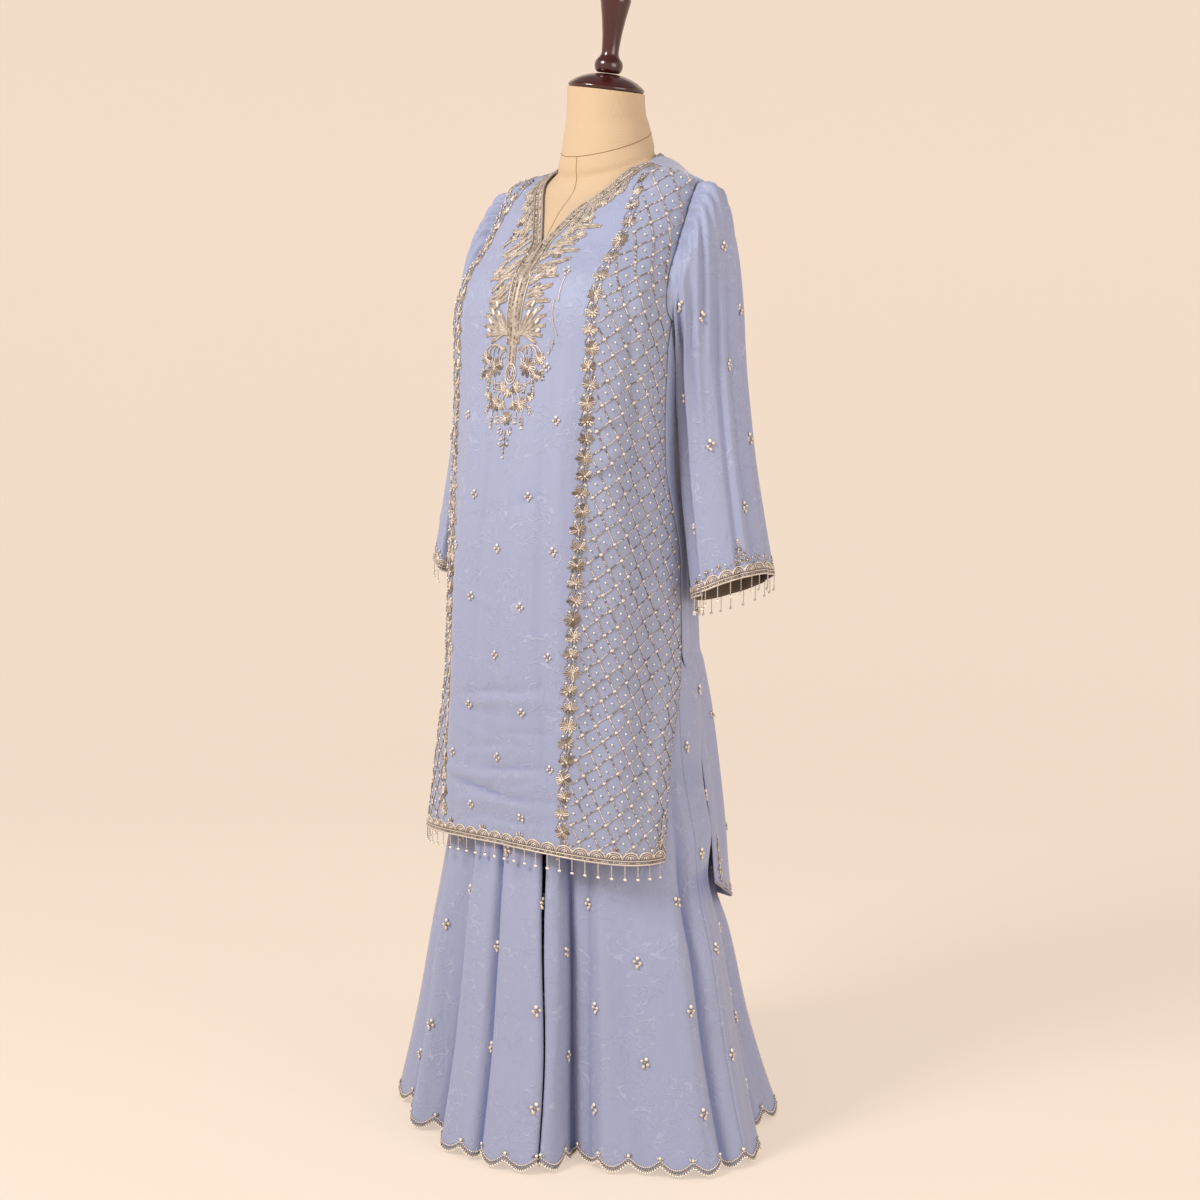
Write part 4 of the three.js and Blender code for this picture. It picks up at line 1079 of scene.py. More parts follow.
def hanging(work, at, length, drop):
    """Sticks of beads that hang straight down from places, with a bead below; where drops end."""
    count = max(2, int(round((length - drop) / 2.6)))
    down = np.array([0, 0, -1.0])
    for k in range(count):
        here = at + down * (length - drop) * (k + 0.5) / count
        work.set(SEED, here, *upright(here), (3.2, 2.4, 2.4), np.full(len(at), math.pi / 2), 0, 0.8)
    below = at + down * (length - drop + 1)
    work.set(SEED, below, *upright(below), (2.6, 2.6, 2.6), np.zeros(len(at)), 0, None)
    return at + down * (length - drop * 0.45)


# ------------------------------------------------------------------ materials
def linear(red, green, blue):
    """A colour from 0-255 values as seen to the linear values of a shader."""
    seen = (red, green, blue)
    return tuple(((c / 255 + 0.055) / 1.055) ** 2.4 if c > 10 else c / 3295 for c in seen) + (1,)


def material(name, color, roughness, **sockets):
    made = bpy.data.materials.new(name)
    made.use_nodes = True
    shader = made.node_tree.nodes["Principled BSDF"]
    shader.inputs["Base Color"].default_value = color
    shader.inputs["Roughness"].default_value = roughness
    for key, value in sockets.items():
        shader.inputs[key.replace("_", " ")].default_value = value
    return made, made.node_tree, shader


def node(tree, kind, inputs, **settings):
    """A new node; each input is given as a value, or as the output that is linked to it."""
    made = tree.nodes.new(kind)
    for key, value in settings.items():
        setattr(made, key, value)
    for key, value in inputs.items():
        if isinstance(value, bpy.types.NodeSocket):
            tree.links.new(value, made.inputs[key])
        else:
            made.inputs[key].default_value = value
    return made


def maths(tree, operation, first, *second):
    values = dict(enumerate((first, *second)))
    return node(tree, "ShaderNodeMath", values, operation=operation).outputs["Value"]


def noise(tree, where, scale, detail, distortion=0.0):
    inputs = {"Vector": where, "Scale": scale, "Detail": detail, "Distortion": distortion}
    return node(tree, "ShaderNodeTexNoise", inputs).outputs["Fac"]


def stretched(tree, where, **inputs):
    return node(tree, "ShaderNodeMapping", {"Vector": where, **inputs}).outputs["Vector"]


def point_tone_and_shade(tree):
    """The value each point of a mesh carries: painted shade on the cloth, and each bead's own tone on the
    beads.
    """
    return node(tree, "ShaderNodeAttribute", {}, attribute_name="tint").outputs["Fac"]


def bump(tree, height, distance, strength, **under):
    inputs = {"Height": height, "Distance": distance, "Strength": strength, **under}
    return node(tree, "ShaderNodeBump", inputs).outputs["Normal"]


def mixed(tree, share, one, two):
    """A colour between two; the inputs of this node that take colours are its seventh and eighth."""
    return node(tree, "ShaderNodeMix", {0: share, 6: one, 7: two}, data_type="RGBA").outputs[2]


def ramp(tree, value, low, high, start, end):
    """A smooth step from start to end as the value goes from low to high."""
    inputs = dict(enumerate((value, low, high, start, end)))
    return node(tree, "ShaderNodeMapRange", inputs, interpolation_type="SMOOTHSTEP").outputs["Result"]


def cloth_material(name, light, deep):
    """Fine crepe: a crinkle of thin lighter veins over a soft unevenness, with painted shade in the troughs
    and on the inner face.
    """
    made, tree, shader = material(name, light, 0.55, Sheen_Weight=0.3, Sheen_Roughness=0.4,
                                  Specular_IOR_Level=0.35)
    where = node(tree, "ShaderNodeTexCoord", {}).outputs["Object"]
    lines = []
    for scale, distortion in ((31.0, 0.4), (46.0, 0.7)):
        away = maths(tree, "SUBTRACT", noise(tree, where, scale, 1.5, distortion), 0.5)
        lines.append(ramp(tree, maths(tree, "ABSOLUTE", away), 0.0, 0.017, 0.7, 0.0))
    patches = ramp(tree, noise(tree, where, 17.0, 1.0), 0.38, 0.54, 0.0, 1.0)
    vein = maths(tree, "MULTIPLY", maths(tree, "MAXIMUM", *lines), patches)
    # Painted shade: where a point's value marks a trough or the inner face, a darker blue is mixed into the
    # colour.
    trough = ramp(tree, point_tone_and_shade(tree), 0.0, 1.0, 0.0, 0.85)
    tone = mixed(tree, trough, mixed(tree, vein, deep, light), linear(92, 104, 158))
    tree.links.new(tone, shader.inputs["Base Color"])
    soft = noise(tree, stretched(tree, where, Scale=(1, 1, 0.3)), 44.0, 4.0, 0.5)
    fine = bump(tree, noise(tree, where, 900.0, 3.0), 0.0004, 0.5)
    crinkle = bump(tree, vein, 0.0012, 0.6, Normal=fine)
    tree.links.new(bump(tree, soft, 0.005, 0.5, Normal=crinkle), shader.inputs["Normal"])
    return made


def linen_material():
    """A plain weave with slubs, from crossed bands."""
    made, tree, shader = material("linen", linear(197, 173, 144), 0.85, Sheen_Weight=0.2)
    where = node(tree, "ShaderNodeTexCoord", {}).outputs["Object"]
    bands = []
    for turn in ((0, 0, 0.6), (0, math.pi / 2, 0)):
        inputs = {"Vector": stretched(tree, where, Rotation=turn), "Scale": 340.0, "Distortion": 1.6,
                  "Detail": 2.0, "Detail Scale": 1.5}
        bands.append(node(tree, "ShaderNodeTexWave", inputs).outputs["Fac"])
    height = maths(tree, "MULTIPLY", *bands)
    tone = mixed(tree, height, linear(191, 167, 136), linear(202, 178, 148))
    tree.links.new(tone, shader.inputs["Base Color"])
    tree.links.new(bump(tree, height, 0.0004, 0.3), shader.inputs["Normal"])
    return made


def wood_material():
    made, tree, shader = material("mahogany", linear(50, 8, 10), 0.24, Coat_Weight=0.6,
                                  Coat_Roughness=0.06)
    where = node(tree, "ShaderNodeTexCoord", {}).outputs["Object"]
    grain = noise(tree, stretched(tree, where, Scale=(6, 6, 1)), 9.0, 5.0, 1.2)
    tone = mixed(tree, grain, linear(36, 5, 7), linear(70, 12, 13))
    tree.links.new(tone, shader.inputs["Base Color"])
    return made


def bead_material(name, dark, light, metallic, roughness):
    """Beads whose colour runs from dark to light with each one's own tint."""
    made, tree, shader = material(name, light, roughness, Metallic=metallic)
    tree.links.new(mixed(tree, point_tone_and_shade(tree), dark, light), shader.inputs["Base Color"])
    return made


CREPE = cloth_material("blue crepe", linear(164, 171, 198), linear(146, 154, 185))
NETTED = cloth_material("netted crepe", linear(161, 167, 191), linear(143, 151, 179))
LINEN = linen_material()
MAHOGANY = wood_material()
SEAM_TAPE = material("seam thread", linear(140, 104, 68), 0.8)[0]
FACING = material("dark gold net", linear(84, 68, 54), 0.6, Metallic=0.2)[0]
STEEL = material("stand steel", linear(150, 150, 152), 0.35, Metallic=0.9)[0]
BEADS = bead_material("antique beads", linear(112, 97, 82), linear(228, 216, 204), 0.2, 0.34)
PEARL = material("pearl beads", linear(235, 228, 214), 0.2, Coat_Weight=0.5, Specular_IOR_Level=0.6)[0]

# ------------------------------------------------------------------ cloth pieces and the form
waist_rows = np.array([torso_ring(z) for z in np.linspace(WAIST_Z + SEAM, WAIST_TOP_Z, 8)])
WAIST = Panel(waist_rows, None)
WAIST.points = waist_rows + WAIST.normals * (CLOTH + SEAM)

# Columns: piece, the frame's node, what it is cut from, material and what it lies on.
CUT = [
    ("cloth_kurta_front_centre", "kurta_front_centre", [CENTRE[1], CENTRE[-1]], CREPE, "linen_torso"),
    ("cloth_kurta_side_left", "kurta_front_side_left", [SIDE[1]], NETTED, "linen_torso"),
    ("cloth_kurta_side_right", "kurta_front_side_right", [SIDE[-1]], NETTED, "linen_torso"),
    ("cloth_kurta_back", "kurta_back", [BACK_PANEL[1], BACK_PANEL[-1]], CREPE, "linen_torso"),
    ("cloth_sleeve_left", "sleeve_left", [SLEEVES[1]], CREPE, "cloth_kurta_side_left"),
    ("cloth_sleeve_right", "sleeve_right", [SLEEVES[-1]], CREPE, "cloth_kurta_side_right")]
for name, side in SIDES.items():
    for part, panel in LEG[side].panels.items():
        piece = f"sharara_{name}_{part}"
        CUT.append((f"cloth_{piece}", piece, [panel], CREPE, "cloth_waistband"))
CUT.append(("cloth_waistband", "sharara_waistband", [WAIST], CREPE, "linen_torso"))


def carried(obj, nodes=()):
    """The part's one body carries the piece, which stands for the frame's nodes if any are named."""
    if nodes:
        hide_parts(*nodes)
    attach(obj, "root")


cloth = {name: shell(name, panels, finish) for name, _, panels, finish, _ in CUT}
torso = solid("linen_torso", TORSO, LINEN)
neck = solid("linen_neck", NECK, LINEN)
cap = turned("turned_cap", CAP, MAHOGANY)
finial = turned("turned_finial", FINIAL, MAHOGANY)
for name, node_name, _, _, _ in CUT:
    carried(cloth[name], [node_name])
carried(torso, ["form_torso"])
carried(neck, ["form_neck"])
carried(cap, ["form_cap"])
carried(finial, ["form_finial"])

for name in ("form_pole", "form_base"):
    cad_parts[name].data.materials.clear()
    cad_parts[name].data.materials.append(STEEL)

# ------------------------------------------------------------------ beadwork: neck
pearls = Work()               # every pearl, joined in one piece at the end


def pearl(place, a, b, long, wide=None, high=None, turn=0.0):
    """Pearls on a surface, round unless more than one size is given."""
    pearls.stamp(BALL, place, a, b, (long, wide or long, high or long), turn, tint=0.5)


def neck_path(offset, side, bottom):
    """A line at a distance outside the V, down to the height bottom on the column below it."""
    z = np.linspace(NECK_POINT[1] - 3, V_BOTTOM_Z - offset * 0.9, 40)
    x = neck_x(z) + offset
    z, x = np.append(z, bottom), np.append(x, offset * 0.62)
    return np.stack([side * x, z], -1)


def neck_front():
    """The beads round the V and on the column below it; headings are for the left side."""
    work = Work()
    for side in (1, -1):
        def mirror(heading):
            return heading if side > 0 else 180 - heading

        def across(x, z):
            return (side * x, z)

        # fine cords beside the V and down the column, with slanting beads between
        for offset, width, tint in ((1.3, 2.6, 0.6), (8.4, 2.0, 0.5), (15.4, 1.8, 0.2), (17.6, 2.4, 0.55)):
            path = neck_path(offset, side, 1128 if offset < 14 else 1160)
            work.cord(on_centre, path, width, 3.2, 0.7, tint)
        for offset, lean, bottom in ((4.4, 0.75, 1132), (12.4, -0.75, 1160)):
            work.run(on_centre, neck_path(offset, side, bottom), 3.0, (5.4, 2.1, 2.0), GRAIN, side * lean)
        for offset in (6.7, 10.2):
            work.run(on_centre, neck_path(offset, side, 1128), 2.3, (2.5, 1.9, 1.9))

        # leaves outside the cords, short at the shoulder and long below the V
        for k, z in enumerate(np.arange(1416, 1326, -6.6)):
            lean = (-86, -60, -98, -70)[k % 4]
            start = across(float(neck_x(z)) + 19, z)
            plume(work, on_centre, start, mirror(lean), (30, 22, 25, 27)[k % 4], -side * 20, 7.0)
        heading = 14 if side > 0 else -34
        for k, z in enumerate(np.arange(1334, 1214, -8.6)):
            share = (1334 - z) / 120
            length = lerp(50, 40, share) * (1.0, 0.78, 0.94, 0.66)[k % 4] + (8 if 0.2 < share < 0.45 else 0)
            start = across(float(neck_x(z)) + 17, z - (14 if side > 0 else 0))
            plume(work, on_centre, start, mirror(heading + (0, 16, -8, 8)[k % 4]), length,
                  side * (-18, 24, 10, -26)[k % 4], 8.0)
        for z, out, size in ((1388, 33, 6.5), (1362, 36, 7.5), (1336, 44, 8.5), (1312, 56, 8.5),
                             (1286, 44, 8), (1262, 50, 8), (1238, 34, 7.5)):
            bloom(work, on_centre, side * (float(neck_x(z)) + out), z, size, 7, rng.random())
        for z, out, heading, curl in ((1296, 22, -8, -250), (1268, 20, 6, -240), (1246, 18, -10, 250)):
            scroll(work, on_centre, across(float(neck_x(z)) + out, z), mirror(heading), 34, side * curl)

        # wings that rise from the foot of the column, with flat silver stones
        for k, (heading, length) in enumerate(((72, 44), (58, 56), (44, 52), (28, 44), (8, 36), (-14, 28))):
            plume(work, on_centre, across(10 + k, 1170 + k), mirror(heading), length, -side * 22, 7.0)
        for x, z, turn, length in ((34, 1216, 66, 13), (40, 1205, 60, 13), (44, 1192, 48, 12),
                                   (28, 1203, 62, 11), (46, 1179, 30, 10)):
            turn = math.radians(mirror(turn))
            pearls.stamp(GRAIN, on_centre, side * x, z, (length, 5.0, 3.0), turn, 2.0, 0.5)
        for k in range(4):
            path = sweep(np.array(across(12.0 + 2 * k, 1150.0)), mirror(80 - 8 * k), 26 + 9 * k,
                         -side * (190 - 14 * k), 22)
            work.cord(on_centre, path, 2.0, 2.6, 0.8, 0.3 + 0.15 * k)

        # blooms by the column's end with short hanging sprigs
        bloom(work, on_centre, side * 31, 1128, 14.5, 9, 0.2)
        bloom(work, on_centre, side * 50, 1140, 10, 7, 0.5)
        bloom(work, on_centre, side * 13, 1098, 8, 7, 0.7)
        bloom(work, on_centre, side * 46, 1116, 8, 7, 0.1)
        bloom(work, on_centre, side * 12, 1074, 7, 6, 0.4)
        bloom(work, on_centre, side * 25, 1076, 11.5, 8, 0.1)
        bloom(work, on_centre, side * 39, 1086, 6, 6, 0.4)
        for x, z, heading, length in ((40, 1113, -80, 22), (30, 1110, -96, 16), (54, 1130, -76, 18),
                                      (29, 1064, -84, 20), (20, 1064, -104, 14), (37, 1078, -70, 14),
                                      (17, 1112, -110, 12)):
            spray(work, on_centre, across(x, z), mirror(heading), length, 0, leaf=5.6, pitch=4.6)
        for x, z, heading, length, curl in ((6, 1108, -30, 34, 60), (8, 1102, -60, 26, 110),
                                            (10, 1096, -20, 30, -90), (6, 1090, -40, 26, -120),
                                            (12, 1150, 0, 30, -150), (12, 1142, 10, 20, -170)):
            work.cord(on_centre, sweep(np.array(across(float(x), float(z))), mirror(heading), length,
                                       side * curl, 16), 2.1, 2.8, 0.8, 0.6)
        if side > 0:     # a thin hanging sprig, a little apart from the rest
            work.cord(on_centre, sweep(np.array([80.0, 1262]), -112, 44, 34), 1.5, 3, 0.6, 0.6)
            path = sweep(np.array([69.0, 1222]), -100, 52, 42)
            work.cord(on_centre, path, 1.9, 3, 0.7, 0.6)
            spray(work, on_centre, (72, 1172), -84, 26, -44, leaf=4.5, pitch=8)
    # the column's end: a nested drop, then a bloom and leaves that step down to a point
    for size in (9.6, 6.6, 3.6):
        turn = np.linspace(0, 2 * math.pi, 26)
        path = np.stack([np.cos(turn) * size, 1118 + np.sin(turn) * size * 1.5], -1)
        work.cord(on_centre, path, 2.2, 2.6, 0.9, 0.4 + size / 20)
    bloom(work, on_centre, 0, 1092, 7, 7, 0.2)
    bloom(work, on_centre, 0, 1056, 10.5, 8, 0.2)
    for turn in (-150, -120, -90, -60, -30):
        t = math.radians(turn)
        work.stamp(GRAIN, on_centre, 13 * math.cos(t), 1048 + 13 * math.sin(t), (8.5, 3.0, 2.4), t)
    for z, width in ((1034, 7.5), (1026, 6.0), (1018, 5.0)):
        for side, lean in ((-1, -150), (1, -30)):
            work.stamp(GRAIN, on_centre, side * width, z, (8.0, 2.8, 2.2), math.radians(lean))
    for z in np.linspace(1034, 1008, 5):
        work.stamp(GRAIN, on_centre, 0, z, (6.2, 3.0, 2.4), math.pi / 2)
    for x, z in ((12, 1036), (-12, 1036), (8, 1020), (-8, 1020), (0, 1001), (31, 1042), (-31, 1042),
                 (44, 1088), (-44, 1088), (20, 1050), (-20, 1050)):
        pearl(on_centre, x, z, 3.6)
    return work


def on_neck_back(h, s):
    """Along the back of the neck: h away from its edge, s round it."""
    side = np.sign(s + 1e-9)
    x = np.minimum(np.abs(s), NECK_POINT[0] - 1)
    z = BACK_NECK_Z + (NECK_POINT[1] - BACK_NECK_Z) * (x / NECK_POINT[0]) ** 2
    z = np.minimum(z, TOP_Z - 0.5)
    low = lerp(h, 0, np.clip((x - 40) / 34, 0, 1))
    turn = side * turn_of(BACK, x + h * 0.15, z - low)
    return on_back(turn, z - low - hem_back(turn))


def neck_back(work):
    """Rows of beads along the back of the neck."""
    s = np.linspace(-72, 72, 60)
    for h, size in ((1.5, 2.0), (4.5, 1.5), (7.5, 1.5), (10.5, 2.0)):
        path = np.stack([s * 0 + h, s], -1)
        points, _ = spaced(path, size * 1.1)
        work.stamp(SEED, on_neck_back, points[:, 0], points[:, 1], (size, size, size))
    points, _ = spaced(np.stack([s * 0 + 6, s], -1), 4)
    work.stamp(GRAIN, on_neck_back, points[:, 0], points[:, 1], (3.4, 1.7, 1.6), 0.9)


# ------------------------------------------------------------------ beadwork: seams and side panels
def on_front(side):
    """A place on the front from the distance out from the border's seam and the height."""
    def place(a, z):
        a, z = matched(a, z)
        outer = on_side(side)(np.maximum(a, 0), z)
        inner = on_centre(side * (BORDER_X(z) + np.minimum(a, 0)), z)
        return chosen(a >= 0, outer, inner)
    return place


def border(side):
    """Blooms and fans that climb beside the seam, between two waving cords."""
    work, place = Work(), on_front(side)
    z = np.arange(HEM_FRONT_Z + 32, 1398, 25.0)
    size = 10.6 * (1 - 0.36 * ease((z - 1310) / 90))
    sway = 1.6 * np.sin(z * 0.11)
    kind = np.arange(len(z)) % 3
    for k in range(3):
        a, b, r = sway[kind == k], z[kind == k], size[kind == k]
        if k == 0:
            bloom(work, place, a, b, r, 8, a * 0.3)
            continue
        bloom(work, place, a, b - 0.1 * r, r, 5, -0.15 if k == 1 else 0.35, math.pi + 0.3)
        for turn, reach in (((-150, 1.0), (-112, 0.9), (-68, 0.9), (-30, 1.0)) if k == 1 else
                            ((-165, 1.0), (-125, 0.8), (-90, 1.05), (-50, 0.8), (-15, 1.0))):
            t = math.radians(turn)
            work.stamp(GRAIN, place, a + np.cos(t) * r * 0.55, b + np.sin(t) * r * 0.55,
                       (r * 0.7 * reach, 3.0, 2.6), t)
    between = z[:-1] + 12.5
    for lean in (0.8, math.pi - 0.8):
        work.stamp(GRAIN, place, sway[:-1] + np.cos(lean) * 4.4, between, (6.4, 2.4, 2.0), lean)
    beside = sway[:-1] + np.where(kind[:-1] == 1, 5.5, -4.5)
    pearl(place, beside, between - 1.5, 3.4, 3.4, 2.8)
    up = np.arange(HEM_FRONT_Z + 22, 1408, 2.0)
    for edge in (-1, 1):
        path = np.stack([edge * (5.4 + 2.2 * np.sin(up * 0.251 + edge)), up], -1)
        work.cord(place, path, 1.1, 4.2, 0.4, 0.2)
    top = np.arange(1396, 1411, 3.2)
    for edge in (-3, 0, 3):
        work.stamp(GRAIN, place, edge, top, (4.4, 2.6, 2.4), 1.2)
    return work


LATTICE_STEPS = np.array([18.0, 12.6]), np.array([-12.0, 22.2])
LATTICE_TOP_Z = 1411


def lattice(work, side):
    """A slanting net of beads over a side panel, with a long bead at each knot and a pearl in each mesh."""
    place, turned_over = on_side(side), (side < 0) * math.pi
    i, j = np.meshgrid(np.arange(-45, 60), np.arange(-45, 60), indexing="ij")
    knots = np.array([8.0, HEM_FRONT_Z + 8]) + sum(
        n[..., None] * step for n, step in zip((i, j), LATTICE_STEPS))

    def kept(a, z, margin=2.0):
        """The places that lie within the panel's edges."""
        inside = (a > 11) & (a < SIDE_WIDTH(z) - margin)
        inside &= (z > hem_front(115 + a) + 16) & (z < LATTICE_TOP_Z)
        return a[inside], z[inside]

    def wobbled(spot):
        a, z = spot[..., 0].ravel(), spot[..., 1].ravel()
        return kept(a + 0.8 * np.sin(z * 0.13 + a * 0.21), z + 0.8 * np.sin(a * 0.17 + z * 0.05))
    for step in LATTICE_STEPS:
        count = int(round(np.linalg.norm(step) / 3.3))
        turn = math.atan2(step[1], step[0]) * side + turned_over
        for k in range(count):
            a, z = wobbled(knots + step * (k + 0.5) / count)
            work.stamp(SEED, place, a, z, (6.2, 2.3, 2.1), turn, 0.8)
    turn = math.atan2(*LATTICE_STEPS[0][::-1]) * side + turned_over
    work.stamp(GRAIN, place, *wobbled(knots), (6.6, 4.0, 3.2), turn, tint=0.9)
    middles = knots + sum(LATTICE_STEPS) / 2
    a, z = kept(middles[..., 0].ravel(), middles[..., 1].ravel(), 4)
    pearl(place, a + rng.normal(0, 0.6, len(a)), z + rng.normal(0, 0.6, len(a)), 3.4)


def slit_edge(work, side):
    """Small beads up the edge of a slit, with a pearl beside every fourth."""
    z = np.arange(hem_front(HEM_HALF) + 8, SLIT_TOP_Z + 30, 3.2)
    work.stamp(SEED, on_side(side), SIDE_WIDTH(z) - 2.2, z, (2.4, 2.0, 1.8))
    z = z[::4]
    pearl(on_side(side), SIDE_WIDTH(z) - 5.0, z, 2.2)


# ------------------------------------------------------------------ beadwork: hems and cuffs
HEM_REACH = float(BORDER_X(HEM_FRONT_Z)) + float(SIDE_WIDTH(HEM_FRONT_Z))
PANEL_SEAM = 114              # the front's middle panel ends here at the hem


def on_hem(s, h):
    """Along the front hem: s from the middle towards the left, h above the edge."""
    s, h = matched(s, h)
    reach = np.clip((np.abs(s) - BORDER_X(HEM_FRONT_Z)) / SIDE_WIDTH(HEM_FRONT_Z), 0, 1)
    beyond = lerp(BORDER_X(HEM_FRONT_Z), HEM_HALF, ease(reach))
    z = hem_front(np.where(reach > 0, beyond, np.abs(s))) + h
    centre = on_centre(np.clip(s, 1 - PANEL_SEAM, PANEL_SEAM - 1), z)
    left = on_side(1)(np.clip(s - PANEL_SEAM, 0, None), z)
    right = on_side(-1)(np.clip(-s - PANEL_SEAM, 0, None), z)
    return chosen(s > PANEL_SEAM, left, chosen(s < -PANEL_SEAM, right, centre))


def band(work, place, start, end, height, pitch, peaks=True):
    """A beaded band along an edge: cords and beads, with nested arches that stand on them."""
    def level(h):
        return np.stack([np.linspace(start, end, 60), np.full(60, float(h))], -1)
    for h, width, tint in ((1.2, 2.8, 0.8), (6.2, 2.4, 0.65)):
        work.cord(place, level(h), width, 3.2, 0.8, tint)
    work.run(place, level(3.7), 2.7, (3.0, 2.4, 2.3))
    work.run(place, level(8.2), 2.5, (2.4, 1.7, 1.6), tint=0.2)
    count = int(round((end - start) / pitch))
    wide = (end - start) / count
    middles = start + (np.arange(count) + 0.5) * wide
    turn = np.linspace(0, math.pi, 13)
    for share, tint, width in ((0.96, 0.8, 2.6), (0.66, 0.6, 2.2), (0.38, 0.8, 2.2)):
        for middle in middles:
            path = np.stack([middle + np.cos(turn) * wide / 2 * share,
                             8.6 + np.sin(turn) * (height - 9.5) * share], -1)
            work.cord(place, path, width, 3.0, 0.8, tint)
    work.stamp(BALL, place, middles, 9.8, (2.8, 2.8, 2.6), tint=0.95)
    work.stamp(GRAIN, place, middles + wide / 2, 11.5, (6.0, 2.8, 2.2), math.pi / 2)
    if peaks:
        some = middles[1::3]
        for da, dh, lean in ((0, 4.0, 0), (-4.2, 1.8, 0.6), (4.2, 1.8, -0.6)):
            work.stamp(GRAIN, place, some + da, height + dh, (6.4, 2.8, 2.2), math.pi / 2 + lean)


def hem_front_work():
    """A band of arches along the front hem, with a spray and a flower at each corner."""
    work = Work()
    band(work, on_hem, -HEM_REACH + 3, HEM_REACH - 3, 19, 24)
    for corner in (1, -1):
        base = corner * (HEM_REACH - 14)
        spray(work, on_hem, (base, 20), 90 - corner * 6, 44, 0, leaf=5)
        flower(work, on_hem, base - corner * 4, 30, 7, 0.2)
    return work


def hem_back_work(work):
    """Two rows of beads, a line of small flowers, and a corner motif at each end."""
    turns = np.linspace(-88.5, 88.5, 230)
    for h, size in ((1.5, 2.4), (4.5, 2.0)):
        work.stamp(SEED, on_back, turns, h, (size, size, size))
    for turn in np.linspace(-84, 84, 25):
        flower(work, on_back_flat(turn), 0, 13, 5.2, 0.3)
    for corner in (1, -1):
        flat = on_back_flat(corner * 84)
        for a, b, r in ((0, 26, 7), (-corner * 4, 44, 6), (0, 60, 5)):
            flower(work, flat, a, b, r, 0.1)
        spray(work, flat, (0, 18), 90, 56, 0, leaf=5.5)


def drops(work, place, s, length, drop):
    """A fringe: tassels that hang from an edge, each with a long pearl at its end."""
    at, normal, _, _ = place(s, np.full(len(s), 0.6))
    ends = hanging(work, at + normal * 0.3, length, drop)
    pearls.set(BALL, ends, *upright(ends), (4.2, 4.2, 7.0), np.zeros(len(s)), 0, 0.5)


def on_cuff(side):
    """A place round a cuff in millimetres from its back seam, its length, and that of an angle."""
    s = np.linspace(-180, 180, 181)
    place = on_sleeve(side)
    edge = place(s, np.zeros(181))[0]
    along = distances(edge)

    def flat(a, h):
        return place(np.interp(np.asarray(a, float) % along[-1], along, s), h)
    return flat, along[-1], lambda degrees: float(np.interp(degrees, s, along))


def cuff(side):
    """The beads of a cuff and, apart from them, its fringe."""
    flat, girth, at = on_cuff(side)
    work, hung = Work(), Work()
    band(work, flat, 0, girth, 19, 21, peaks=False)
    middle = at(27)
    # a stepped motif above the band, with swags of beads to both sides
    for row, count in enumerate((3, 2, 1)):
        for k in range(count):
            flower(work, flat, middle + (k - (count - 1) / 2) * 9.5, 24 + row * 8.5, 5.2, 0.3 * k)
    spray(work, flat, (middle, 44), 90, 9, 0, leaf=4.5, pitch=4)
    for away in (-1, 1):
        for k in range(4):
            start = middle + away * (18 + 19 * k)
            turn = np.linspace(0, math.pi, 14)
            path = np.stack([start + away * 9.5 * (1 - np.cos(turn)), 24 - 0.5 * k - 5 * np.sin(turn)], -1)
            work.run(flat, path, 2.4, (2.1, 1.6, 1.5))
            flower(work, flat, start + away * 19, 26 - 0.5 * k, 4.8, 0.4)
            pearl(flat, start + away * 9.5, 26 - 0.5 * k, 3.0)
    count = int(round(girth / 19.5))
    s = (np.arange(count) + 0.5) * girth / count
    drops(hung, flat, s, 25, 7)
    return work, hung


def facing(side):
    """The dark gold net that lines a cuff, just inside it."""
    s = np.linspace(-180, 180, 121)
    rows = []
    for h in np.linspace(0.3, 27, 7):
        at, normal, _, _ = on_sleeve(side)(s, np.full(121, h))
        rows.append(at - normal * (CLOTH + 0.25))
    grid = np.array(rows)
    grid[:, -1] = grid[:, 0]
    return Panel(grid, None, -1)


def edging(side):
    """Along the scalloped edge of a leg: a cord on the edge, a second above it, and small beads."""
    work, place = Work(), on_leg(side)
    total, scallops, (around, low) = LEG[side].total, LEG[side].scallops, LEG[side].edge.T

    def flat(s, h):
        s = np.asarray(s, float) % total
        return place(s, np.interp(s, around, low) + h)
    for h, pitch, size, tint in ((2.2, 2.9, (3.4, 2.6, 2.4), 0.7), (7.4, 2.7, (3.6, 3.2, 2.9), 0.95)):
        s = np.arange(0, total, pitch)
        slope = np.arctan(np.gradient(np.interp(s, around, low), s))
        work.stamp(SEED, flat, s, h, size, slope, tint=tint)
    s = np.arange(0, total, 3.6)
    work.stamp(SEED, flat, s, 4.4, (2.8, 2.2, 2.0), tint=0.45)
    pearl(flat, s + 1.8, -1.2, 3.4)
    joints = np.arange(scallops) * total / scallops
    pearl(flat, joints, 11.0, 5.2, 5.2, 4.2)
    for k in (-1, 1):
        work.stamp(GRAIN, flat, joints + k * 3.6, 12.5, (5.0, 2.6, 2.2), math.pi / 2 - k * 0.6)
    return work


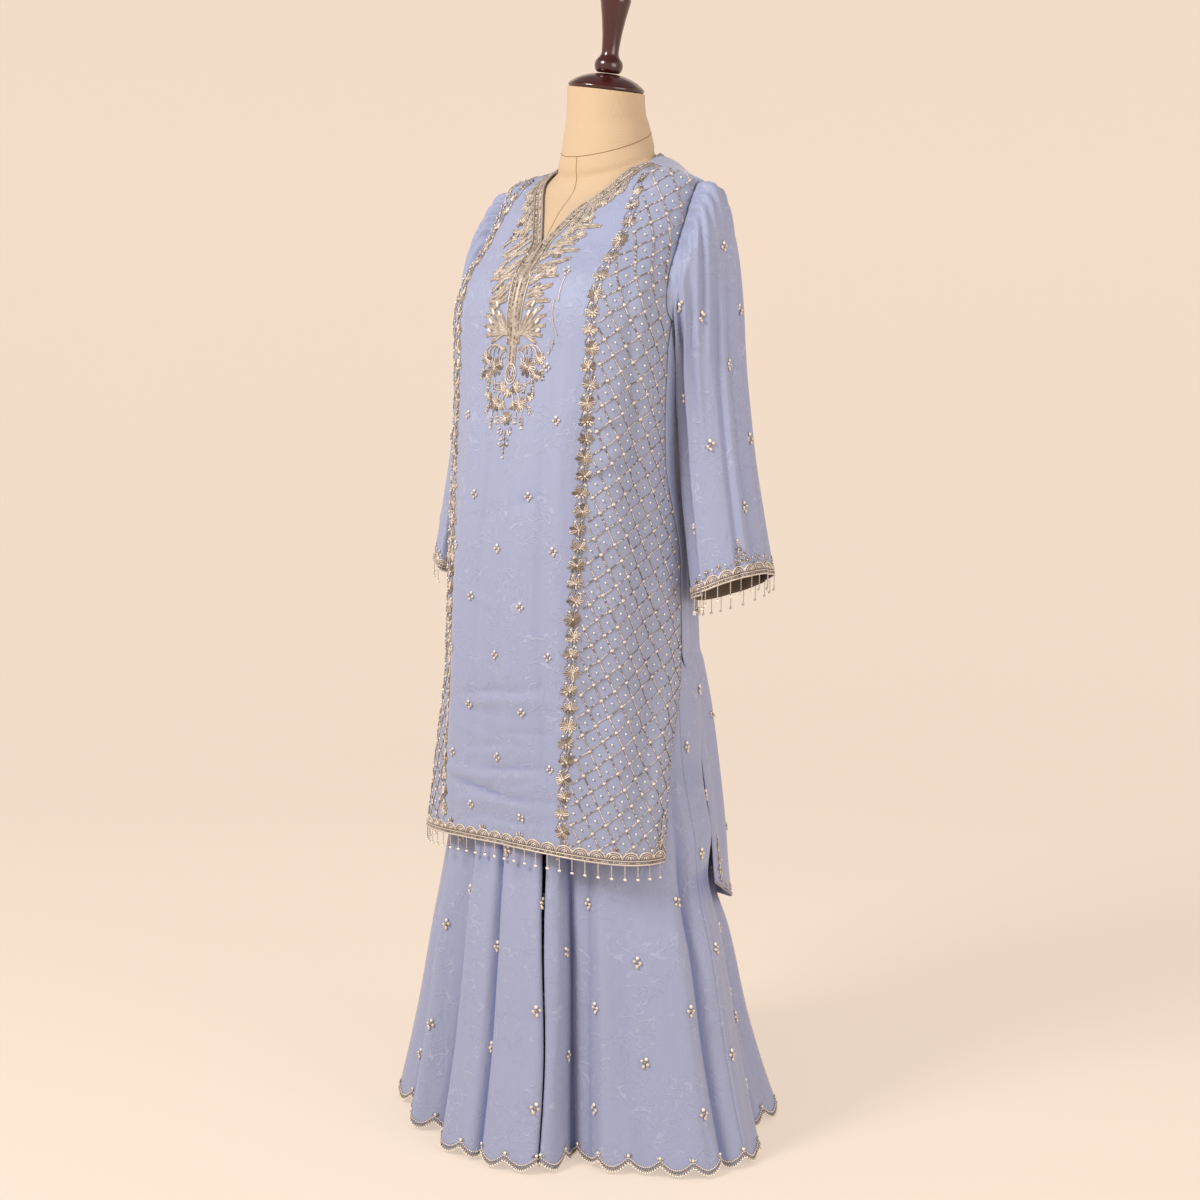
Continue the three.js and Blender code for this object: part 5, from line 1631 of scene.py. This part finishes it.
# ------------------------------------------------------------------ beadwork: scattered clusters
def cluster(work, place, a, b, size=1.0):
    """Four beads round a smaller one; the top bead and one more, low at a side, are pearls."""
    a, b = np.atleast_1d(a).astype(float), np.atleast_1d(b).astype(float)
    phase = rng.normal(0, 0.2, len(a)) + math.pi / 2
    for k, (reach, long, wide) in enumerate(((4.5, 5.0, 4.6), (3.9, 4.8, 4.4),
                                             (4.7, 5.6, 4.2), (3.9, 4.8, 4.4))):
        turn = phase + k * math.pi / 2
        where = (a + reach * size * np.cos(turn), b + reach * size * np.sin(turn))
        bead = (long * size, wide * size, 3.6 * size)
        if k == 0:
            pearl(place, *where, *bead, turn)
        else:
            work.stamp(BALL, place, *where, bead, turn, tint=0.8)
    pearl(place, a + 2.6 * size, b - 2.4 * size, 2.8 * size, 2.8 * size, 2.4 * size)
    work.stamp(BALL, place, a, b, (3.2 * size, 3.2 * size, 3.4 * size), tint=0.3)


def scattered():
    """Clusters spread over the front's middle, the sleeves, the legs and the back."""
    work = Work()
    spots = []
    for k, z in enumerate(np.arange(494, 1000, 76)):
        spots += [(x, z) for x in ((-93, 2, 93) if k % 2 else (-50, 50))]
    spots += [(60, 1128), (-84, 1060), (84, 1056), (78, 1262)]
    spots = np.array(spots) + rng.normal(0, 2.5, (len(spots), 2))
    cluster(work, on_centre, spots[:, 0], spots[:, 1])
    for side in (1, -1):
        for k, up in enumerate(np.arange(96, 540, 92)):
            turns = np.array([0, 90, 180, 270]) + (45 if k % 2 else 0) + 8
            cluster(work, on_sleeve(side), turns, np.full(4, up), 1.25)
        total = LEG[side].total
        for k, z in enumerate(np.arange(78, 660, 72)):
            s = (np.arange(8) + (0.5 if k % 2 else 0.0) + 0.2) * total / 8
            cluster(work, on_leg(side), s + rng.normal(0, 4, 8), z + rng.normal(0, 4, 8), 1.3)
    for k, up in enumerate(np.arange(110, 1010, 80)):
        turns = np.array([-43, 1, 44] if k % 2 else [-68, -19, 21, 67])
        for turn in turns + rng.normal(0, 1.2, len(turns)):
            cluster(work, on_back_flat(turn), 0, up + rng.normal(0, 5))
    return work


# ------------------------------------------------------------------ the form's seams and all the beads
def seam_line(work, points, normals):
    """A thin raised seam in the form's linen."""
    aside = unit(np.cross(normals, unit(np.gradient(points, axis=0))))
    work.line(points, normals, aside, 1.0, 0.15, 0.5)


def linen_seams():
    """The seam down the front of the form and the one round the foot of its neck."""
    work = Work()
    middle = (len(ROUND) - 1) // 2
    front_line = TORSO[TORSO[:, middle, 2] > V_BOTTOM_Z - 15, middle][::-1]
    seam_line(work, front_line, np.broadcast_to([0, -1.0, 0], front_line.shape))
    ring = NECK[0]
    seam_line(work, ring, unit((ring - [0, NECK_Y, ring[0, 2]]) * [1, 1, 0] + [0, 0, 0.01]))
    return work


neck_beads = neck_front()
neck_back(neck_beads)
hem_beads = hem_front_work()
hem_back_work(hem_beads)
hem_fringe = Work()
drops(hem_fringe, on_hem, np.arange(-HEM_REACH + 10, HEM_REACH - 6, 19.0), 23, 6)
side_beads = Work()
for side in (1, -1):
    lattice(side_beads, side)
    slit_edge(side_beads, side)

WORKED = [("neck_work", neck_beads, ["neck_band_front", "neck_band_back"]),
          ("hem_work", hem_beads, ["hem_band_front", "hem_band_back"]),
          ("hem_drops", hem_fringe, ["hem_fringe_front"]),
          ("lattice_work", side_beads, []), ("scattered_work", scattered(), [])]
for name, side in SIDES.items():
    cuff_beads, cuff_fringe = cuff(side)
    WORKED += [(f"border_work_{name}", border(side), [f"floral_border_{name}"]),
               (f"cuff_work_{name}", cuff_beads, [f"cuff_band_{name}"]),
               (f"cuff_drops_{name}", cuff_fringe, [f"cuff_fringe_{name}"]),
               (f"edging_work_{name}", edging(side), [f"sharara_{name}_hem_edging"])]

carried(linen_seams().make("linen_seams", SEAM_TAPE))
for name, side in SIDES.items():
    carried(shell(f"cuff_facing_{name}", [facing(side)], FACING, 0.3))
for name, work, nodes in WORKED:
    carried(work.make(name, BEADS), nodes)
carried(pearls.make("pearls", PEARL))

# ------------------------------------------------------------------ stage, camera and lights
FLOOR, _, floor_shader = material("backdrop cream", linear(150, 141, 130), 0.9, Specular_IOR_Level=0.1)
floor_shader.inputs["Emission Color"].default_value = linear(204, 188, 174)
floor_shader.inputs["Emission Strength"].default_value = 1.0


def backdrop():
    """A round floor that turns up into a wall all round."""
    profile = [(r, 0.0) for r in (0.001, 0.5, 1.2, 2.0, 2.6)]
    profile += [(2.6 + 1.6 * math.sin(a), 1.6 - 1.6 * math.cos(a)) for a in np.linspace(0.1, math.pi / 2, 14)]
    profile += [(4.2, 3.0), (4.2, 4.4)]
    turn = np.linspace(0, 2 * math.pi, 73)
    points = np.array([vec(r * np.cos(turn), r * np.sin(turn), z) for r, z in profile])
    return build("backdrop", points.reshape(-1, 3), grid_faces(len(profile), len(turn))[:, ::-1], FLOOR)


backdrop()


def looking(place, toward):
    """A matrix at place whose -Z points along toward, with no roll."""
    back = -unit(np.array(toward, float))
    right = unit(np.cross([0, 0, 1.0], back))
    made = np.eye(4)
    made[:3] = np.stack([right, np.cross(back, right), back, place], -1)
    return Matrix(made.tolist())


def area_light(name, place, aim, size, power, color):
    light = bpy.data.lights.new(name, "AREA")
    light.shape, light.size, light.energy, light.color = "SQUARE", size, power, color
    obj = bpy.data.objects.new(name, light)
    obj.matrix_world = looking(place, np.array(aim) - place)
    bpy.context.scene.collection.objects.link(obj)


def around(azimuth, distance, height):
    """A place by its direction from the front, towards the wearer's left."""
    turn = math.radians(azimuth)
    return np.array([math.sin(turn) * distance, -math.cos(turn) * distance, height])


area_light("key", around(-14, 2.7, 3.1), (0, 0, 0.9), 1.0, 104, (1, 0.98, 0.96))
area_light("fill", around(84, 3.0, 1.7), (0, 0, 0.75), 1.8, 35, (1, 0.98, 0.97))

world = bpy.data.worlds.new("studio")
world.use_nodes = True
world.node_tree.nodes["Background"].inputs["Color"].default_value = linear(255, 246, 236)
world.node_tree.nodes["Background"].inputs["Strength"].default_value = 0.3
bpy.context.scene.world = world
bpy.context.scene.view_settings.view_transform = "Standard"

CAMERA_PLACE, CAMERA_TURN, CAMERA_PITCH = (1.99865, -2.33581, 1.1822), 40, 7.3
turn, pitch = math.radians(CAMERA_TURN), math.radians(CAMERA_PITCH)
lens = bpy.data.cameras.new("camera")
lens.sensor_width, lens.lens = 36, 62.49
camera = bpy.data.objects.new("camera", lens)
camera.matrix_world = looking(CAMERA_PLACE, vec(-math.sin(turn) * math.cos(pitch),
                                                math.cos(turn) * math.cos(pitch), -math.sin(pitch)))
bpy.context.scene.collection.objects.link(camera)
bpy.context.scene.camera = camera


# ------------------------------------------------------------------ how the sheets were cut
def cut_size(panels):
    """Width and length of panels laid flat side by side, and their area, in metres."""
    across = sum(widths(p.points) for p in panels).max()
    along = max(np.linalg.norm(np.diff(p.points, axis=0), axis=2).sum(0).max() for p in panels)
    area = 0
    for p in panels:
        right, up = p.points[:-1, 1:] - p.points[:-1, :-1], p.points[1:, :-1] - p.points[:-1, :-1]
        area += np.linalg.norm(np.cross(right, up), axis=2).sum()
    return (across / 1000, along / 1000), min(area, across * along) / 1e6


for name, _, panels, _, below in CUT:
    flat, area = cut_size(panels)
